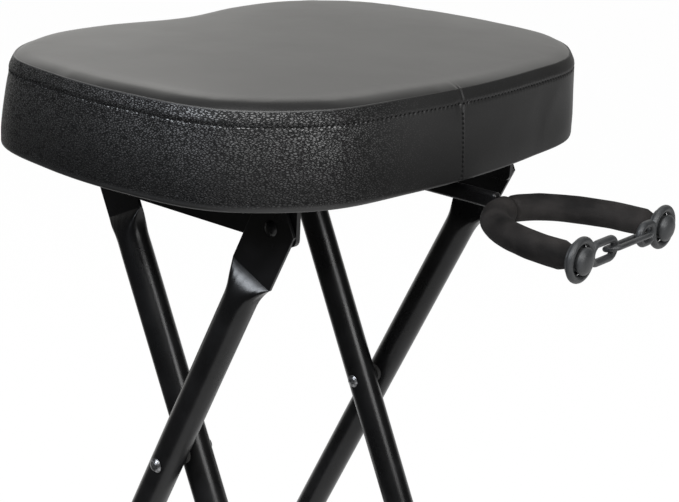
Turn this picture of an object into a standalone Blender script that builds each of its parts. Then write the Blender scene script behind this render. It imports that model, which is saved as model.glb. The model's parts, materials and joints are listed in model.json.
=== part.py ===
"""Folding guitar stool: a padded seat on scissor legs, with a neck yoke at its edge.

Metres, +Z up, floor at z = 0. +X points towards the yoke, Y runs along the scissor axis.
Pieces are drawn about the scissor axis: x and z are measured from it, y from the middle plane.
"near" is the -Y side and "far" the +Y side.
"""
from math import asin, cos, pi, radians, sin, tan

import bmesh
import bpy
from mathutils import Matrix, Vector

# Clearances
GAP = 0.0003                # between pieces that touch
RUNNING = 0.0003            # round a rivet or a rod in its hole
RAIL_PLAY = 0.0005          # each side of a rail, between the two legs' flats

# Legs: one inch tube with flattened ends
TUBE_R = 0.0127
TUBE_WALL = 0.0015
OUTER_SPACING = 0.2654      # between the outer legs' axes
OUTER_TILT = radians(25.4)  # top towards the yoke
INNER_TILT = radians(25)    # top away from the yoke
LEG_GAP = 0.0044            # between an outer and an inner tube, where the spacer is
PIVOT_HEIGHT = 0.4195       # scissor axis above the floor
RIVET_RISE = 0.213          # seat rivets and hook rod above the scissor axis
FLAT_THICKNESS = 0.003
FLAT_BEYOND = 0.018         # flat end past the rivet
FLAT_CORNER = 0.007         # past the rivet, where the flat's sides turn in
FLAT_TOP_HALF = 0.006       # half of the straight edge at the top
FLAT_START = 0.194          # crease, along the leg from the scissor axis
FLAT_TAPER = 0.037          # from the crease down to the round tube
FOOT_SOLE = 0.006           # rubber under the tube's lowest point
FOOT_WALL = 0.0028
FOOT_GRIP = 0.032           # length of cap up the tube
BAR_R = 0.0095              # crossbars
BAR_WALL = 0.0015
OUTER_BAR_HEIGHT = 0.235    # above the floor
INNER_BAR_HEIGHT = 0.150

# Rivets
SHANK_R = 0.004
SEAT_HEAD_R = 0.006
SCISSOR_HEAD_R = 0.006
HEAD_RISE = 0.003
TAIL_R = 0.0055
TAIL_RISE = 0.0022
SPACER_R = 0.010

# Rails and what hangs from them
RAIL_WEB = 0.004
RAIL_DROP = 0.011           # web below the rivets
RAIL_ABOVE = 0.0292         # seat's underside above the rivets
RAIL_FLANGE = 0.020
RAIL_FLANGE_THICKNESS = 0.003
RAIL_BACK_LENGTH = 0.018    # beyond the hook rod
RAIL_FRONT_LENGTH = 0.0205  # beyond the seat rivets
RAIL_CORNER = 0.006
HOOK_DROP = 0.004           # web below the hook rod, behind the slope
HOOK_SLOPE_START = 0.046    # slope of the web's lower edge, in front of the rod
HOOK_SLOPE_END = 0.020
ROD_R = 0.005               # hook rod across the inner legs
HOOK_FLARE = radians(30)    # slope of the hook's open side
PLATE_THICKNESS = 0.004     # plates between the rails
PLATE_DEPTH = 0.030
INNER_PLATE_X = 0.010
OUTER_PLATE_X = 0.075
SCREW_R = 0.0022
SCREW_LENGTH = 0.009        # into the board
SCREW_HEAD_R = 0.0045
SCREW_HEAD_RISE = 0.0024
SCREWS_PER_RAIL = 4
SCREW_END = 0.022           # from the rail's end to its last screw

# Seat: half of its outline, from the yoke side round to the dip at the back
SEAT_OUTLINE = (
    (0.1786, 0.0000), (0.1742, 0.0744), (0.1612, 0.1477), (0.1138, 0.2038), (0.0417, 0.2203),
    (-0.0329, 0.2194), (-0.1037, 0.2022), (-0.1477, 0.1447), (-0.1549, 0.0735), (-0.1429, 0.0000),
)
SEAT_SIDE = 0.0663          # underside to the top seam
CROWN = 0.009               # middle of the top above its seam
BAND = 0.011                # rounded band between the top seam and the stitching below it
EDGE = 0.007                # top seam in from the side
SIDE_DRAW = 0.0015          # sides drawn in at mid height
LOW_SIDE = 0.007            # straight part of the side, at the bottom
CROWN_RUN = 0.040           # from the top seam in to where the crown levels off
COVER = 0.0012              # leatherette thickness
HEM = 0.020                 # cover turned under the board
BOARD = 0.012
DUST_COVER = 0.0008

# Neck yoke and its strap
YOKE_ABOVE = 0.009          # yoke's middle above the seat rivets
YOKE_HALF = 0.0535          # from the middle to an arm's axis
YOKE_BACK = 0.202           # middle of the bend
YOKE_BEND_X = 0.285         # where the bend runs into the arms
ARM_END_X = 0.2945          # foam end
YOKE_ROD_R = 0.005
FOAM_R = 0.0105
HANGER_WIDTH = 0.008
HANGER_DEPTH = 0.012
HANGER_ABOVE = 0.006        # bar's middle above the yoke's
KNOB_R = 0.0095
KNOB_LENGTH = 0.0078
KNOB_NECK_R = 0.008
KNOB_FLANGE_R = 0.0125      # holds the foam, and the strap ring lies against it
KNOB_FLANGE = 0.0015
KNOB_GRIP = 0.0035          # rod inside the knob's head
RING_HOLE_R = 0.0105
WIRE_R = 0.0027             # strap rings and their eyes
LOOP_HALF = 0.0066          # half height of a ring's eye, at its wire's middle
NEAR_LOOP_REACH = 0.045     # ring middle to the eye's end
FAR_LOOP_REACH = 0.034
LINK_WIRE_R = 0.0019
LINK_HALF = 0.0054
LINK_TILT = radians(18)     # front of the link above its back

# Worked out from the sizes above
INNER_SPACING = OUTER_SPACING - 2 * (2 * TUBE_R + LEG_GAP)
SEAT_RISE = RIVET_RISE + RAIL_ABOVE
SEAM_Z = SEAT_RISE + SEAT_SIDE
YOKE_RISE = RIVET_RISE + YOKE_ABOVE
RIVET_X = RIVET_RISE * tan(OUTER_TILT)
HOOK_X = -RIVET_RISE * tan(INNER_TILT)
FLAT_WIDTH = pi * TUBE_R
RAIL_OUT = OUTER_SPACING / 2 - FLAT_THICKNESS / 2 - RAIL_PLAY
RAIL_IN = RAIL_OUT - RAIL_WEB
RAIL_TOP = SEAT_RISE - GAP / 2
RAIL_LOW = RIVET_RISE - RAIL_DROP
RAIL_BACK = HOOK_X - RAIL_BACK_LENGTH
RAIL_FRONT = RIVET_X + RAIL_FRONT_LENGTH
BOARD_LOW = SEAT_RISE + COVER + GAP
KNOB_SEAT = ARM_END_X + GAP
NECK_LENGTH = 2 * WIRE_R + 2 * GAP
RING_X = KNOB_SEAT + KNOB_FLANGE + GAP + WIRE_R
RING_R = RING_HOLE_R + WIRE_R
KNOB_HEAD = KNOB_FLANGE + NECK_LENGTH
KNOB_TIP = KNOB_SEAT + KNOB_HEAD + KNOB_LENGTH
FOOT_R = TUBE_R + GAP + FOOT_WALL
STRAP_AXIS_Y = -YOKE_HALF + NEAR_LOOP_REACH - WIRE_R
BACK_REACH = PIVOT_HEIGHT * tan(OUTER_TILT) + FOOT_R / cos(OUTER_TILT)
MIDDLE_X = (KNOB_TIP - BACK_REACH) / 2

TUBE_SIDES = 24
SMALL_SIDES = 16


# Scene and helpers

for leftover in list(bpy.data.objects):
    bpy.data.objects.remove(leftover, do_unlink=True)

STOOL = bpy.data.collections.new("folding_guitar_stool")
CUTTERS = bpy.data.collections.new("cutters")
bpy.context.scene.collection.children.link(STOOL)
bpy.context.scene.collection.children.link(CUTTERS)


def finish(name, colour, roughness, metallic=0.0):
    material = bpy.data.materials.new(name)
    material.use_nodes = True
    shader = material.node_tree.nodes["Principled BSDF"]
    shader.inputs["Base Color"].default_value = (*colour, 1.0)
    shader.inputs["Roughness"].default_value = roughness
    shader.inputs["Metallic"].default_value = metallic
    return material


BLACK_PAINT = finish("black_paint", (0.012, 0.012, 0.013), 0.32)
STEEL = finish("dark_rivet_steel", (0.05, 0.05, 0.055), 0.35, 0.8)
RUBBER = finish("black_rubber", (0.015, 0.015, 0.015), 0.8)
LEATHERETTE = finish("black_leatherette", (0.022, 0.022, 0.022), 0.45)
CUSHION_FOAM = finish("cushion_foam", (0.75, 0.70, 0.52), 0.95)
PLYWOOD = finish("plywood", (0.52, 0.36, 0.20), 0.7)
LINING = finish("black_lining", (0.02, 0.02, 0.02), 0.95)
SLEEVE_FOAM = finish("sleeve_foam", (0.018, 0.018, 0.018), 0.95)
GREY_PLASTIC = finish("dark_grey_plastic", (0.045, 0.046, 0.048), 0.4)


def axis_empty(name, place, parent=None):
    empty = bpy.data.objects.new(name, None)
    empty.location = place
    empty.parent = parent
    STOOL.objects.link(empty)
    return empty


ROOT = axis_empty("outer_frame_axis", (-MIDDLE_X, 0, PIVOT_HEIGHT))
INNER = axis_empty("scissor_axis", (0, 0, 0), ROOT)
SEAT = axis_empty("seat_axis", (RIVET_X, 0, RIVET_RISE), ROOT)
STRAP = axis_empty("strap_axis", (RING_X - RIVET_X, STRAP_AXIS_Y, YOKE_RISE - RIVET_RISE), SEAT)


def from_scissor(body):
    """Offset that brings coordinates about the scissor axis to a body's own axis."""
    offset = Vector((0, 0, 0))
    while body is not ROOT:
        offset -= body.location
        body = body.parent
    return offset


def add_object(name, data, body, material=None, place=(0, 0, 0), turn=(0, 0, 0)):
    """An object drawn about the scissor axis, carried by a body; no material makes it a cutter."""
    piece = bpy.data.objects.new(name, data)
    piece.parent = body
    piece.location = from_scissor(body) + Vector(place)
    piece.rotation_euler = turn
    if material is None:
        CUTTERS.objects.link(piece)
        piece.hide_render = True
        piece.display_type = "WIRE"
    else:
        STOOL.objects.link(piece)
        piece.data.materials.append(material)
    return piece


def mesh_from(name, build):
    mesh = bpy.data.meshes.new(name)
    build.normal_update()
    build.to_mesh(mesh)
    build.free()
    mesh.shade_smooth()
    mesh.set_sharp_from_angle(angle=radians(35))
    return mesh


def loft_mesh(name, rings):
    """A closed skin over rings of as many points each, capped at the first and the last."""
    build = bmesh.new()
    loops = [[build.verts.new(point) for point in ring] for ring in rings]
    count = len(loops[0])
    for low, high in zip(loops, loops[1:]):
        for i in range(count):
            j = (i + 1) % count
            build.faces.new((low[i], low[j], high[j], high[i]))
    build.faces.new(list(reversed(loops[0])))
    build.faces.new(loops[-1])
    bmesh.ops.recalc_face_normals(build, faces=build.faces)
    return mesh_from(name, build)


def cylinder_mesh(name, radius, start, end, sides=TUBE_SIDES):
    """A round bar from start to end."""
    start = Vector(start)
    run = Vector(end) - start
    build = bmesh.new()
    frame = Matrix.Translation(start + run / 2) @ run.to_track_quat("Z", "Y").to_matrix().to_4x4()
    bmesh.ops.create_cone(build, cap_ends=True, segments=sides, radius1=radius, radius2=radius,
                          depth=run.length, matrix=frame)
    return mesh_from(name, build)


def box_mesh(name, low, high):
    build = bmesh.new()
    low = Vector(low)
    size = Vector(high) - low
    frame = Matrix.Translation(low + size / 2) @ Matrix.Diagonal((*size, 1))
    bmesh.ops.create_cube(build, size=1, matrix=frame)
    return mesh_from(name, build)


def prism_mesh(name, outline, low_y, high_y):
    """An (x, z) outline carried along Y."""
    return loft_mesh(name, [[(x, y, z) for x, z in outline] for y in (low_y, high_y)])


def arc(centre, radius, start, end, steps):
    """Points along an arc, angles in radians."""
    angles = [start + (end - start) * i / steps for i in range(steps + 1)]
    return [(centre[0] + radius * cos(a), centre[1] + radius * sin(a)) for a in angles]


def turned(name, profile, body, material, place, turn, sides=SMALL_SIDES, closed=False):
    """A profile of (radius, height), run down its outer side, turned about its own Z axis."""
    mesh = bpy.data.meshes.new(name)
    last = len(profile)
    edges = [(i, i + 1) for i in range(last - 1)]
    if closed:
        edges.append((last - 1, 0))
    mesh.from_pydata([(radius, 0, height) for radius, height in profile], edges, [])
    piece = add_object(name, mesh, body, material, place, turn)
    screw = piece.modifiers.new("turn", "SCREW")
    screw.steps = sides
    screw.render_steps = sides
    screw.use_merge_vertices = True
    screw.merge_threshold = 0.00001
    return piece


def curve_piece(name, points, radius, body, material, cyclic=False, caps=True, resolution=3):
    """A round wire along points."""
    curve = bpy.data.curves.new(name, "CURVE")
    curve.dimensions = "3D"
    curve.bevel_depth = radius
    curve.bevel_resolution = resolution
    curve.use_fill_caps = caps
    spline = curve.splines.new("POLY")
    spline.points.add(len(points) - 1)
    for knot, point in zip(spline.points, points):
        knot.co = (*point, 1)
    spline.use_cyclic_u = cyclic
    return add_object(name, curve, body, material)


def as_mesh(piece):
    """Replaces a curve by its mesh, with the caps welded on."""
    bpy.context.view_layer.update()
    evaluated = piece.evaluated_get(bpy.context.evaluated_depsgraph_get())
    mesh = bpy.data.meshes.new_from_object(evaluated)
    build = bmesh.new()
    build.from_mesh(mesh)
    bmesh.ops.remove_doubles(build, verts=build.verts, dist=0.00001)
    bmesh.ops.recalc_face_normals(build, faces=build.faces)
    build.to_mesh(mesh)
    build.free()
    solid = bpy.data.objects.new(piece.name, mesh)
    solid.parent = piece.parent
    solid.location = piece.location
    for home in piece.users_collection:
        home.objects.link(solid)
    name = piece.name
    solid.hide_render = piece.hide_render
    solid.display_type = piece.display_type
    bpy.data.objects.remove(piece, do_unlink=True)
    solid.name = name
    return solid


def boolean(piece, tool, operation="DIFFERENCE"):
    cut = piece.modifiers.new(tool.name, "BOOLEAN")
    cut.operation = operation
    cut.solver = "EXACT"
    cut.object = tool


SIDES = {"near": -1, "far": 1}
OUTWARD = {"near": (pi / 2, 0, 0), "far": (-pi / 2, 0, 0)}


# Legs

def leg_ring(height, width_half, widened, pressed):
    """One section of a leg: a circle that is widened and pressed flat about its middle."""
    ring = []
    for i in range(TUBE_SIDES):
        angle = 2 * pi * i / TUBE_SIDES
        upper = i <= TUBE_SIDES / 2
        share = 1 - 2 * angle / pi if upper else 2 * angle / pi - 3
        at_edge = i in (0, TUBE_SIDES / 2)
        flat_y = 0 if at_edge else FLAT_THICKNESS / 2 * (1 if upper else -1)
        x = TUBE_R * cos(angle) * (1 - widened) + width_half * share * widened
        y = TUBE_R * sin(angle) * (1 - pressed) + flat_y * pressed
        ring.append((x, y, height))
    return ring


def leg_bottom(tilt):
    """Where the tube ends along the leg, so that its lowest point stays above the sole."""
    return -(PIVOT_HEIGHT - FOOT_SOLE - TUBE_R * sin(tilt)) / cos(tilt)


def make_leg(name, side, spacing, tilt, lean, body):
    """A tube along its own Z, pressed flat at the top above a crease, bored up to the pressing."""
    rivet = RIVET_RISE / cos(tilt)
    half = FLAT_WIDTH / 2
    rings = [leg_ring(leg_bottom(tilt), half, 0, 0)]
    steps = 8
    for i in range(steps + 1):
        down = (1 - i / steps) ** 2
        rings.append(leg_ring(FLAT_START - FLAT_TAPER * down, half, (1 - down) ** 2, (1 - down) ** 3))
    rings.append(leg_ring(rivet + FLAT_CORNER, half, 1, 1))
    rings.append(leg_ring(rivet + FLAT_BEYOND, FLAT_TOP_HALF, 1, 1))
    pose = {"place": (0, side * spacing / 2, 0), "turn": (0, lean, 0)}
    leg = add_object(name, loft_mesh(name, rings), body, BLACK_PAINT, **pose)
    bore = cylinder_mesh(name + "_bore", TUBE_R - TUBE_WALL, (0, 0, leg_bottom(tilt) - TUBE_R),
                         (0, 0, FLAT_START - FLAT_TAPER))
    boolean(leg, add_object(name + "_bore", bore, body, **pose))
    return leg


def make_foot(name, side, spacing, tilt, lean, body):
    """A rubber cap round the tube's end, level underneath."""
    end = leg_bottom(tilt)
    floor = -PIVOT_HEIGHT / cos(tilt)
    build = bmesh.new()
    low = floor - FOOT_R * 2
    high = end + FOOT_GRIP
    frame = Matrix.Translation((0, 0, (low + high) / 2))
    bmesh.ops.create_cone(build, cap_ends=True, segments=TUBE_SIDES, radius1=FOOT_R, radius2=FOOT_R,
                          depth=high - low, matrix=frame)
    bmesh.ops.bisect_plane(build, geom=build.verts[:] + build.edges[:] + build.faces[:],
                           plane_co=(0, 0, floor), plane_no=(sin(lean), 0, -cos(lean)), clear_outer=True)
    bmesh.ops.holes_fill(build, edges=build.edges)
    rim = [edge for edge in build.edges if all(vert.co.z > high - GAP for vert in edge.verts)]
    bmesh.ops.bevel(build, geom=rim, offset=FOOT_WALL / 2, segments=2, affect="EDGES", profile=0.5)
    bmesh.ops.recalc_face_normals(build, faces=build.faces)
    pose = {"place": (0, side * spacing / 2, 0), "turn": (0, lean, 0)}
    foot = add_object(name, mesh_from(name, build), body, RUBBER, **pose)
    socket = cylinder_mesh(name + "_socket", TUBE_R + GAP, (0, 0, end - GAP), (0, 0, high + FOOT_WALL))
    boolean(foot, add_object(name + "_socket", socket, body, **pose))


def y_drill(name, radius, x, z, low_y, high_y, body):
    """A cutter along Y."""
    return add_object(name, cylinder_mesh(name, radius, (x, low_y, z), (x, high_y, z), SMALL_SIDES), body)


def make_bar(name, spacing, tilt, lean, height, body):
    """A crossbar welded between two legs, its ends shaped to the tubes."""
    along = (PIVOT_HEIGHT - height) / cos(tilt)
    x = -along * sin(lean)
    z = -along * cos(lean)
    bar = cylinder_mesh(name, BAR_R, (x, -spacing / 2, z), (x, spacing / 2, z))
    piece = add_object(name, bar, body, BLACK_PAINT)
    boolean(piece, y_drill(name + "_bore", BAR_R - BAR_WALL, x, z, -spacing, spacing, body))
    reach = 2 * BAR_R / cos(tilt) + TUBE_R
    for label, side in SIDES.items():
        tool = f"{name}_{label}_saddle"
        saddle = cylinder_mesh(tool, TUBE_R + GAP, (0, 0, -along - reach), (0, 0, -along + reach))
        boolean(piece, add_object(tool, saddle, body, place=(0, side * spacing / 2, 0), turn=(0, lean, 0)))


def dome(radius, rise, base, steps=4):
    """Profile of a low round head, from its tip down to its rim."""
    round_r = (radius * radius + rise * rise) / (2 * rise)
    rim = asin(radius / round_r)
    angles = [rim * i / steps for i in range(steps + 1)]
    return [(round_r * sin(a), base + rise - round_r * (1 - cos(a))) for a in angles]


def make_rivet(name, label, x, z, outer_y, inner_y, head_r, body):
    """A dome-headed rivet along Y, its tail set on the inner side."""
    tail_dome = dome(TAIL_R, TAIL_RISE, inner_y, 3)
    tail = [(radius, 2 * inner_y - height) for radius, height in reversed(tail_dome)]
    profile = dome(head_r, HEAD_RISE, outer_y) + [(SHANK_R, outer_y), (SHANK_R, inner_y)] + tail
    profile[0] = (0, profile[0][1])
    profile[-1] = (0, profile[-1][1])
    return turned(name, profile, body, STEEL, (x, 0, z), OUTWARD[label])


OUT_FACE = OUTER_SPACING / 2 + TUBE_R
IN_FACE = INNER_SPACING / 2 - TUBE_R
FLAT_OUT = OUTER_SPACING / 2 + FLAT_THICKNESS / 2
SEAT_DRILL = y_drill("seat_rivet_drill", SHANK_R + RUNNING, RIVET_X, RIVET_RISE, -OUT_FACE, OUT_FACE, ROOT)
SCISSOR_DRILL = y_drill("scissor_drill", SHANK_R + RUNNING, 0, 0, -2 * OUT_FACE, 2 * OUT_FACE, ROOT)
ROD_DRILL = y_drill("rod_drill", ROD_R + RUNNING, HOOK_X, RIVET_RISE, -OUT_FACE, OUT_FACE, INNER)

for label, side in SIDES.items():
    outer = make_leg(f"outer_leg_{label}", side, OUTER_SPACING, OUTER_TILT, OUTER_TILT, ROOT)
    inner = make_leg(f"inner_leg_{label}", side, INNER_SPACING, INNER_TILT, -INNER_TILT, INNER)
    boolean(outer, SEAT_DRILL)
    boolean(outer, SCISSOR_DRILL)
    boolean(inner, SCISSOR_DRILL)
    boolean(inner, ROD_DRILL)
    make_foot(f"outer_foot_{label}", side, OUTER_SPACING, OUTER_TILT, OUTER_TILT, ROOT)
    make_foot(f"inner_foot_{label}", side, INNER_SPACING, INNER_TILT, -INNER_TILT, INNER)
    make_rivet(f"scissor_rivet_{label}", label, 0, 0, OUT_FACE + GAP, IN_FACE - GAP, SCISSOR_HEAD_R, ROOT)
    make_rivet(f"seat_rivet_{label}", label, RIVET_X, RIVET_RISE, FLAT_OUT + GAP, RAIL_IN - GAP,
               SEAT_HEAD_R, ROOT)
    spacer_low = INNER_SPACING / 2 + TUBE_R + GAP
    spacer_high = OUTER_SPACING / 2 - TUBE_R - GAP
    spacer_hole = SHANK_R + RUNNING
    ring = [(SPACER_R, spacer_high), (SPACER_R, spacer_low),
            (spacer_hole, spacer_low), (spacer_hole, spacer_high)]
    turned(f"scissor_spacer_{label}", ring, ROOT, RUBBER, (0, 0, 0), OUTWARD[label], closed=True)

make_bar("outer_crossbar", OUTER_SPACING, OUTER_TILT, OUTER_TILT, OUTER_BAR_HEIGHT, ROOT)
make_bar("inner_crossbar", INNER_SPACING, INNER_TILT, -INNER_TILT, INNER_BAR_HEIGHT, INNER)
rod_end = RAIL_OUT - GAP
hook_rod = cylinder_mesh("hook_rod", ROD_R, (HOOK_X, -rod_end, RIVET_RISE), (HOOK_X, rod_end, RIVET_RISE))
add_object("hook_rod", hook_rod, INNER, STEEL)


# Rails under the seat

def hook_outline():
    """The hook's cut-out: a seat for the rod, straight at the back and flared towards the rivets."""
    radius = ROD_R + RUNNING
    depth = 2 * RAIL_DROP
    seat = arc((HOOK_X, RIVET_RISE), radius, HOOK_FLARE, pi, 8)
    flare = Vector((sin(HOOK_FLARE), -cos(HOOK_FLARE))) * (depth + radius) / cos(HOOK_FLARE)
    foot = (seat[0][0] + flare.x, seat[0][1] + flare.y)
    return seat + [(HOOK_X - radius, foot[1]), foot]


def screw_places(side):
    """Screw positions along a rail, in the middle of its flange."""
    run = RAIL_FRONT - RAIL_BACK - 2 * SCREW_END
    y = side * (RAIL_IN - (RAIL_FLANGE - RAIL_WEB) / 2)
    return [(RAIL_BACK + SCREW_END + run * i / (SCREWS_PER_RAIL - 1), y) for i in range(SCREWS_PER_RAIL)]


SCREW_PLACES = screw_places(-1) + screw_places(1)
FLANGE_LOW = RAIL_TOP - RAIL_FLANGE_THICKNESS
SCREW_SEAT = FLANGE_LOW - GAP
SCREW_TOP = BOARD_LOW + SCREW_LENGTH


def joined_cylinders(name, radius, places, low, high, sides):
    """Upright cylinders in one mesh."""
    build = bmesh.new()
    for x, y in places:
        bmesh.ops.create_cone(build, cap_ends=True, segments=sides, radius1=radius, radius2=radius,
                              depth=high - low, matrix=Matrix.Translation((x, y, (low + high) / 2)))
    return mesh_from(name, build)


SCREW_DRILL = add_object("screw_drill", joined_cylinders("screw_drill", SCREW_R + GAP, SCREW_PLACES,
                                                         SCREW_SEAT - GAP, SCREW_TOP + GAP, 10), SEAT)
HOOK_CUT = add_object("hook_cut", prism_mesh("hook_cut", hook_outline(), -OUT_FACE, OUT_FACE), SEAT)


def slope_outline():
    """What is cut from the web's lower edge, so that it rises towards the hook."""
    low = RAIL_LOW - RAIL_WEB
    high = RIVET_RISE - HOOK_DROP
    back = RAIL_BACK - RAIL_WEB
    return [(back, low), (HOOK_X + HOOK_SLOPE_START, low), (HOOK_X + HOOK_SLOPE_END, high), (back, high)]


SLOPE_CUT = add_object("slope_cut", prism_mesh("slope_cut", slope_outline(), -OUT_FACE, OUT_FACE), SEAT)


def make_rail(name, side):
    """A steel angle: upright web with rounded lower corners, flange under the board."""
    section = [(RAIL_OUT, RAIL_LOW), (RAIL_OUT, RAIL_TOP), (RAIL_OUT - RAIL_FLANGE, RAIL_TOP),
               (RAIL_OUT - RAIL_FLANGE, FLANGE_LOW), (RAIL_IN, FLANGE_LOW), (RAIL_IN, RAIL_LOW)]
    build = bmesh.new()
    corners = [build.verts.new((RAIL_BACK, side * y, z)) for y, z in section]
    end = build.faces.new(corners)
    grown = bmesh.ops.extrude_face_region(build, geom=[end])
    far = [item for item in grown["geom"] if isinstance(item, bmesh.types.BMVert)]
    bmesh.ops.translate(build, verts=far, vec=(RAIL_FRONT - RAIL_BACK, 0, 0))
    low_ends = [edge for edge in build.edges
                if all(abs(vert.co.z - RAIL_LOW) < GAP for vert in edge.verts)
                and abs(edge.verts[0].co.x - edge.verts[1].co.x) < GAP]
    bmesh.ops.bevel(build, geom=low_ends, offset=RAIL_CORNER, segments=5, affect="EDGES", profile=0.5)
    bmesh.ops.recalc_face_normals(build, faces=build.faces)
    rail = add_object(name, mesh_from(name, build), SEAT, BLACK_PAINT)
    boolean(rail, SLOPE_CUT)
    boolean(rail, HOOK_CUT)
    boolean(rail, SEAT_DRILL)
    boolean(rail, SCREW_DRILL)


for label, side in SIDES.items():
    make_rail(f"rail_{label}", side)


# Pan-headed screws through the flanges into the board
screw_profile = [(0, SCREW_TOP), (SCREW_R, SCREW_TOP), (SCREW_R, SCREW_SEAT), (SCREW_HEAD_R, SCREW_SEAT),
                 (SCREW_HEAD_R, SCREW_SEAT - SCREW_HEAD_RISE / 2),
                 (SCREW_HEAD_R * 0.7, SCREW_SEAT - SCREW_HEAD_RISE), (0, SCREW_SEAT - SCREW_HEAD_RISE)]
for number, (x, y) in enumerate(SCREW_PLACES, 1):
    turned(f"rail_screw_{number}", screw_profile, SEAT, STEEL, (x, y, 0), (0, 0, 0), sides=10)


# Seat

def seat_ring(inset, z, per_span=3, scale=1.0):
    """The outline as a smooth closed curve, drawn in by inset and then scaled about the middle."""
    half = [Vector(point) for point in SEAT_OUTLINE]
    knots = half + [Vector((x, -y)) for x, y in reversed(SEAT_OUTLINE[1:-1])]
    count = len(knots)
    points = []
    for i in range(count):
        before, start, end, after = (knots[(i + k - 1) % count] for k in range(4))
        for step in range(per_span):
            t = step / per_span
            bend = (2 * before - 5 * start + 4 * end - after) * t * t
            twist = (3 * start - before - 3 * end + after) * t * t * t
            points.append((2 * start + (end - before) * t + bend + twist) / 2)
    total = len(points)
    ring = []
    for i, point in enumerate(points):
        run = (points[(i + 1) % total] - points[i - 1]).normalized()
        inward = Vector((-run.y, run.x))
        place = (point + inward * inset) * scale
        ring.append((place.x, place.y, z))
    return ring


def cushion_levels(skin):
    """(inset, height, scale) up the side and over the crown, for a form skin inside the cover's face."""
    top = SEAM_Z - skin
    stitch = SEAM_Z - BAND
    low_side = SEAT_RISE + LOW_SIDE
    middle = (low_side + stitch) / 2
    levels = [(skin, low_side, 1), (skin + SIDE_DRAW, middle, 1), (skin + SIDE_DRAW / 3, stitch - BAND, 1),
              (skin + SIDE_DRAW, stitch, 1), (skin + SIDE_DRAW, stitch + BAND / 3, 1),
              (skin + EDGE / 2, stitch + BAND * 4 / 5, 1), (skin + EDGE, top, 1)]
    level_in = EDGE + CROWN_RUN
    crown = [(EDGE + CROWN_RUN / 10, 0.22, 1), (EDGE + CROWN_RUN * 2 / 5, 0.5, 1), (level_in, 0.78, 1),
             (level_in, 0.94, 0.68), (level_in, 1, 0.3)]
    return levels + [(skin + inset, top + CROWN * rise, scale) for inset, rise, scale in crown]


def make_cover():
    """A skin with an open underside: outer face, then back down the inner face to the hem."""
    outside = [(HEM, SEAT_RISE, 1), (COVER, SEAT_RISE, 1), (0, SEAT_RISE + COVER, 1)] + cushion_levels(0)
    inside = [(COVER, SEAT_RISE + COVER, 1)] + cushion_levels(COVER)
    inside.append((inside[-1][0], inside[-1][1], 0.1))
    outside.append((outside[-1][0], outside[-1][1], 0.1))
    build = bmesh.new()
    levels = outside + [None] + list(reversed(inside)) + [(HEM, SEAT_RISE + COVER, 1)]
    loops = []
    for level in levels:
        if level is None:
            loops.append(None)
            continue
        inset, z, scale = level
        loops.append([build.verts.new(point) for point in seat_ring(inset, z, scale=scale)])
    for low, high in zip(loops, loops[1:] + loops[:1]):
        if low is None:
            build.faces.new(high)
            continue
        if high is None:
            build.faces.new(low)
            continue
        count = len(low)
        for i in range(count):
            j = (i + 1) % count
            build.faces.new((low[i], low[j], high[j], high[i]))
    bmesh.ops.recalc_face_normals(build, faces=build.faces)
    add_object("seat_cover", mesh_from("seat_cover", build), SEAT, LEATHERETTE)


make_cover()
board_inset = COVER + SIDE_DRAW + GAP
board_top = BOARD_LOW + BOARD
board = add_object("seat_board", loft_mesh("seat_board", [seat_ring(board_inset, BOARD_LOW),
                                                          seat_ring(board_inset, board_top)]), SEAT, PLYWOOD)
foam_levels = [level for level in cushion_levels(COVER + GAP) if level[1] > board_top + BOARD / 2]
foam_rings = [seat_ring(board_inset, board_top + GAP)]
foam_rings += [seat_ring(inset, z, scale=scale) for inset, z, scale in foam_levels]
add_object("seat_foam", loft_mesh("seat_foam", foam_rings), SEAT, CUSHION_FOAM)
lining_low = SEAT_RISE + GAP / 2
lining_rings = [seat_ring(HEM + GAP, z) for z in (lining_low, lining_low + DUST_COVER)]
lining = add_object("dust_cover", loft_mesh("dust_cover", lining_rings), SEAT, LINING)
boolean(board, SCREW_DRILL)
boolean(lining, SCREW_DRILL)


# Hanger arm and neck yoke

PLATE_TOP = FLANGE_LOW - GAP
PLATE_END = RAIL_IN - GAP
HANGER_LOW = YOKE_RISE + HANGER_ABOVE - HANGER_DEPTH / 2
HANGER_HIGH = HANGER_LOW + HANGER_DEPTH
HANGER_START = INNER_PLATE_X + PLATE_THICKNESS + GAP
HANGER_END = YOKE_BACK - YOKE_ROD_R - GAP


def hanger_box(name, grow, material=None):
    """The hanger bar, or the same grown all round as a cutter."""
    low = (HANGER_START - grow, -HANGER_WIDTH / 2 - grow, HANGER_LOW - grow)
    high = (HANGER_END + grow, HANGER_WIDTH / 2 + grow, HANGER_HIGH + grow)
    return add_object(name, box_mesh(name, low, high), SEAT, material)


hanger_box("hanger_bar", 0, BLACK_PAINT)
HANGER_CUT = hanger_box("hanger_cut", GAP)
for name, x in (("hanger_plate_inner", INNER_PLATE_X), ("hanger_plate_outer", OUTER_PLATE_X)):
    low = (x, -PLATE_END, PLATE_TOP - PLATE_DEPTH)
    high = (x + PLATE_THICKNESS, PLATE_END, PLATE_TOP)
    plate = add_object(name, box_mesh(name, low, high), SEAT, BLACK_PAINT)
    if x > HANGER_START:
        boolean(plate, HANGER_CUT)


def yoke_path(side, start_gap, end_x, steps=9):
    """Half of the yoke's middle line: square to the middle plane, round the bend and out along one arm."""
    points = [(YOKE_BACK, side * start_gap, YOKE_RISE), (YOKE_BACK, side * (start_gap + WIRE_R), YOKE_RISE)]
    depth = YOKE_BEND_X - YOKE_BACK
    for i in range(1, steps + 1):
        angle = pi / 2 * i / steps
        points.append((YOKE_BEND_X - depth * cos(angle), side * YOKE_HALF * sin(angle), YOKE_RISE))
    middle = (YOKE_BEND_X + end_x) / 2
    points.append((middle, side * YOKE_HALF, YOKE_RISE))
    points.append((end_x, side * YOKE_HALF, YOKE_RISE))
    return points


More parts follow.
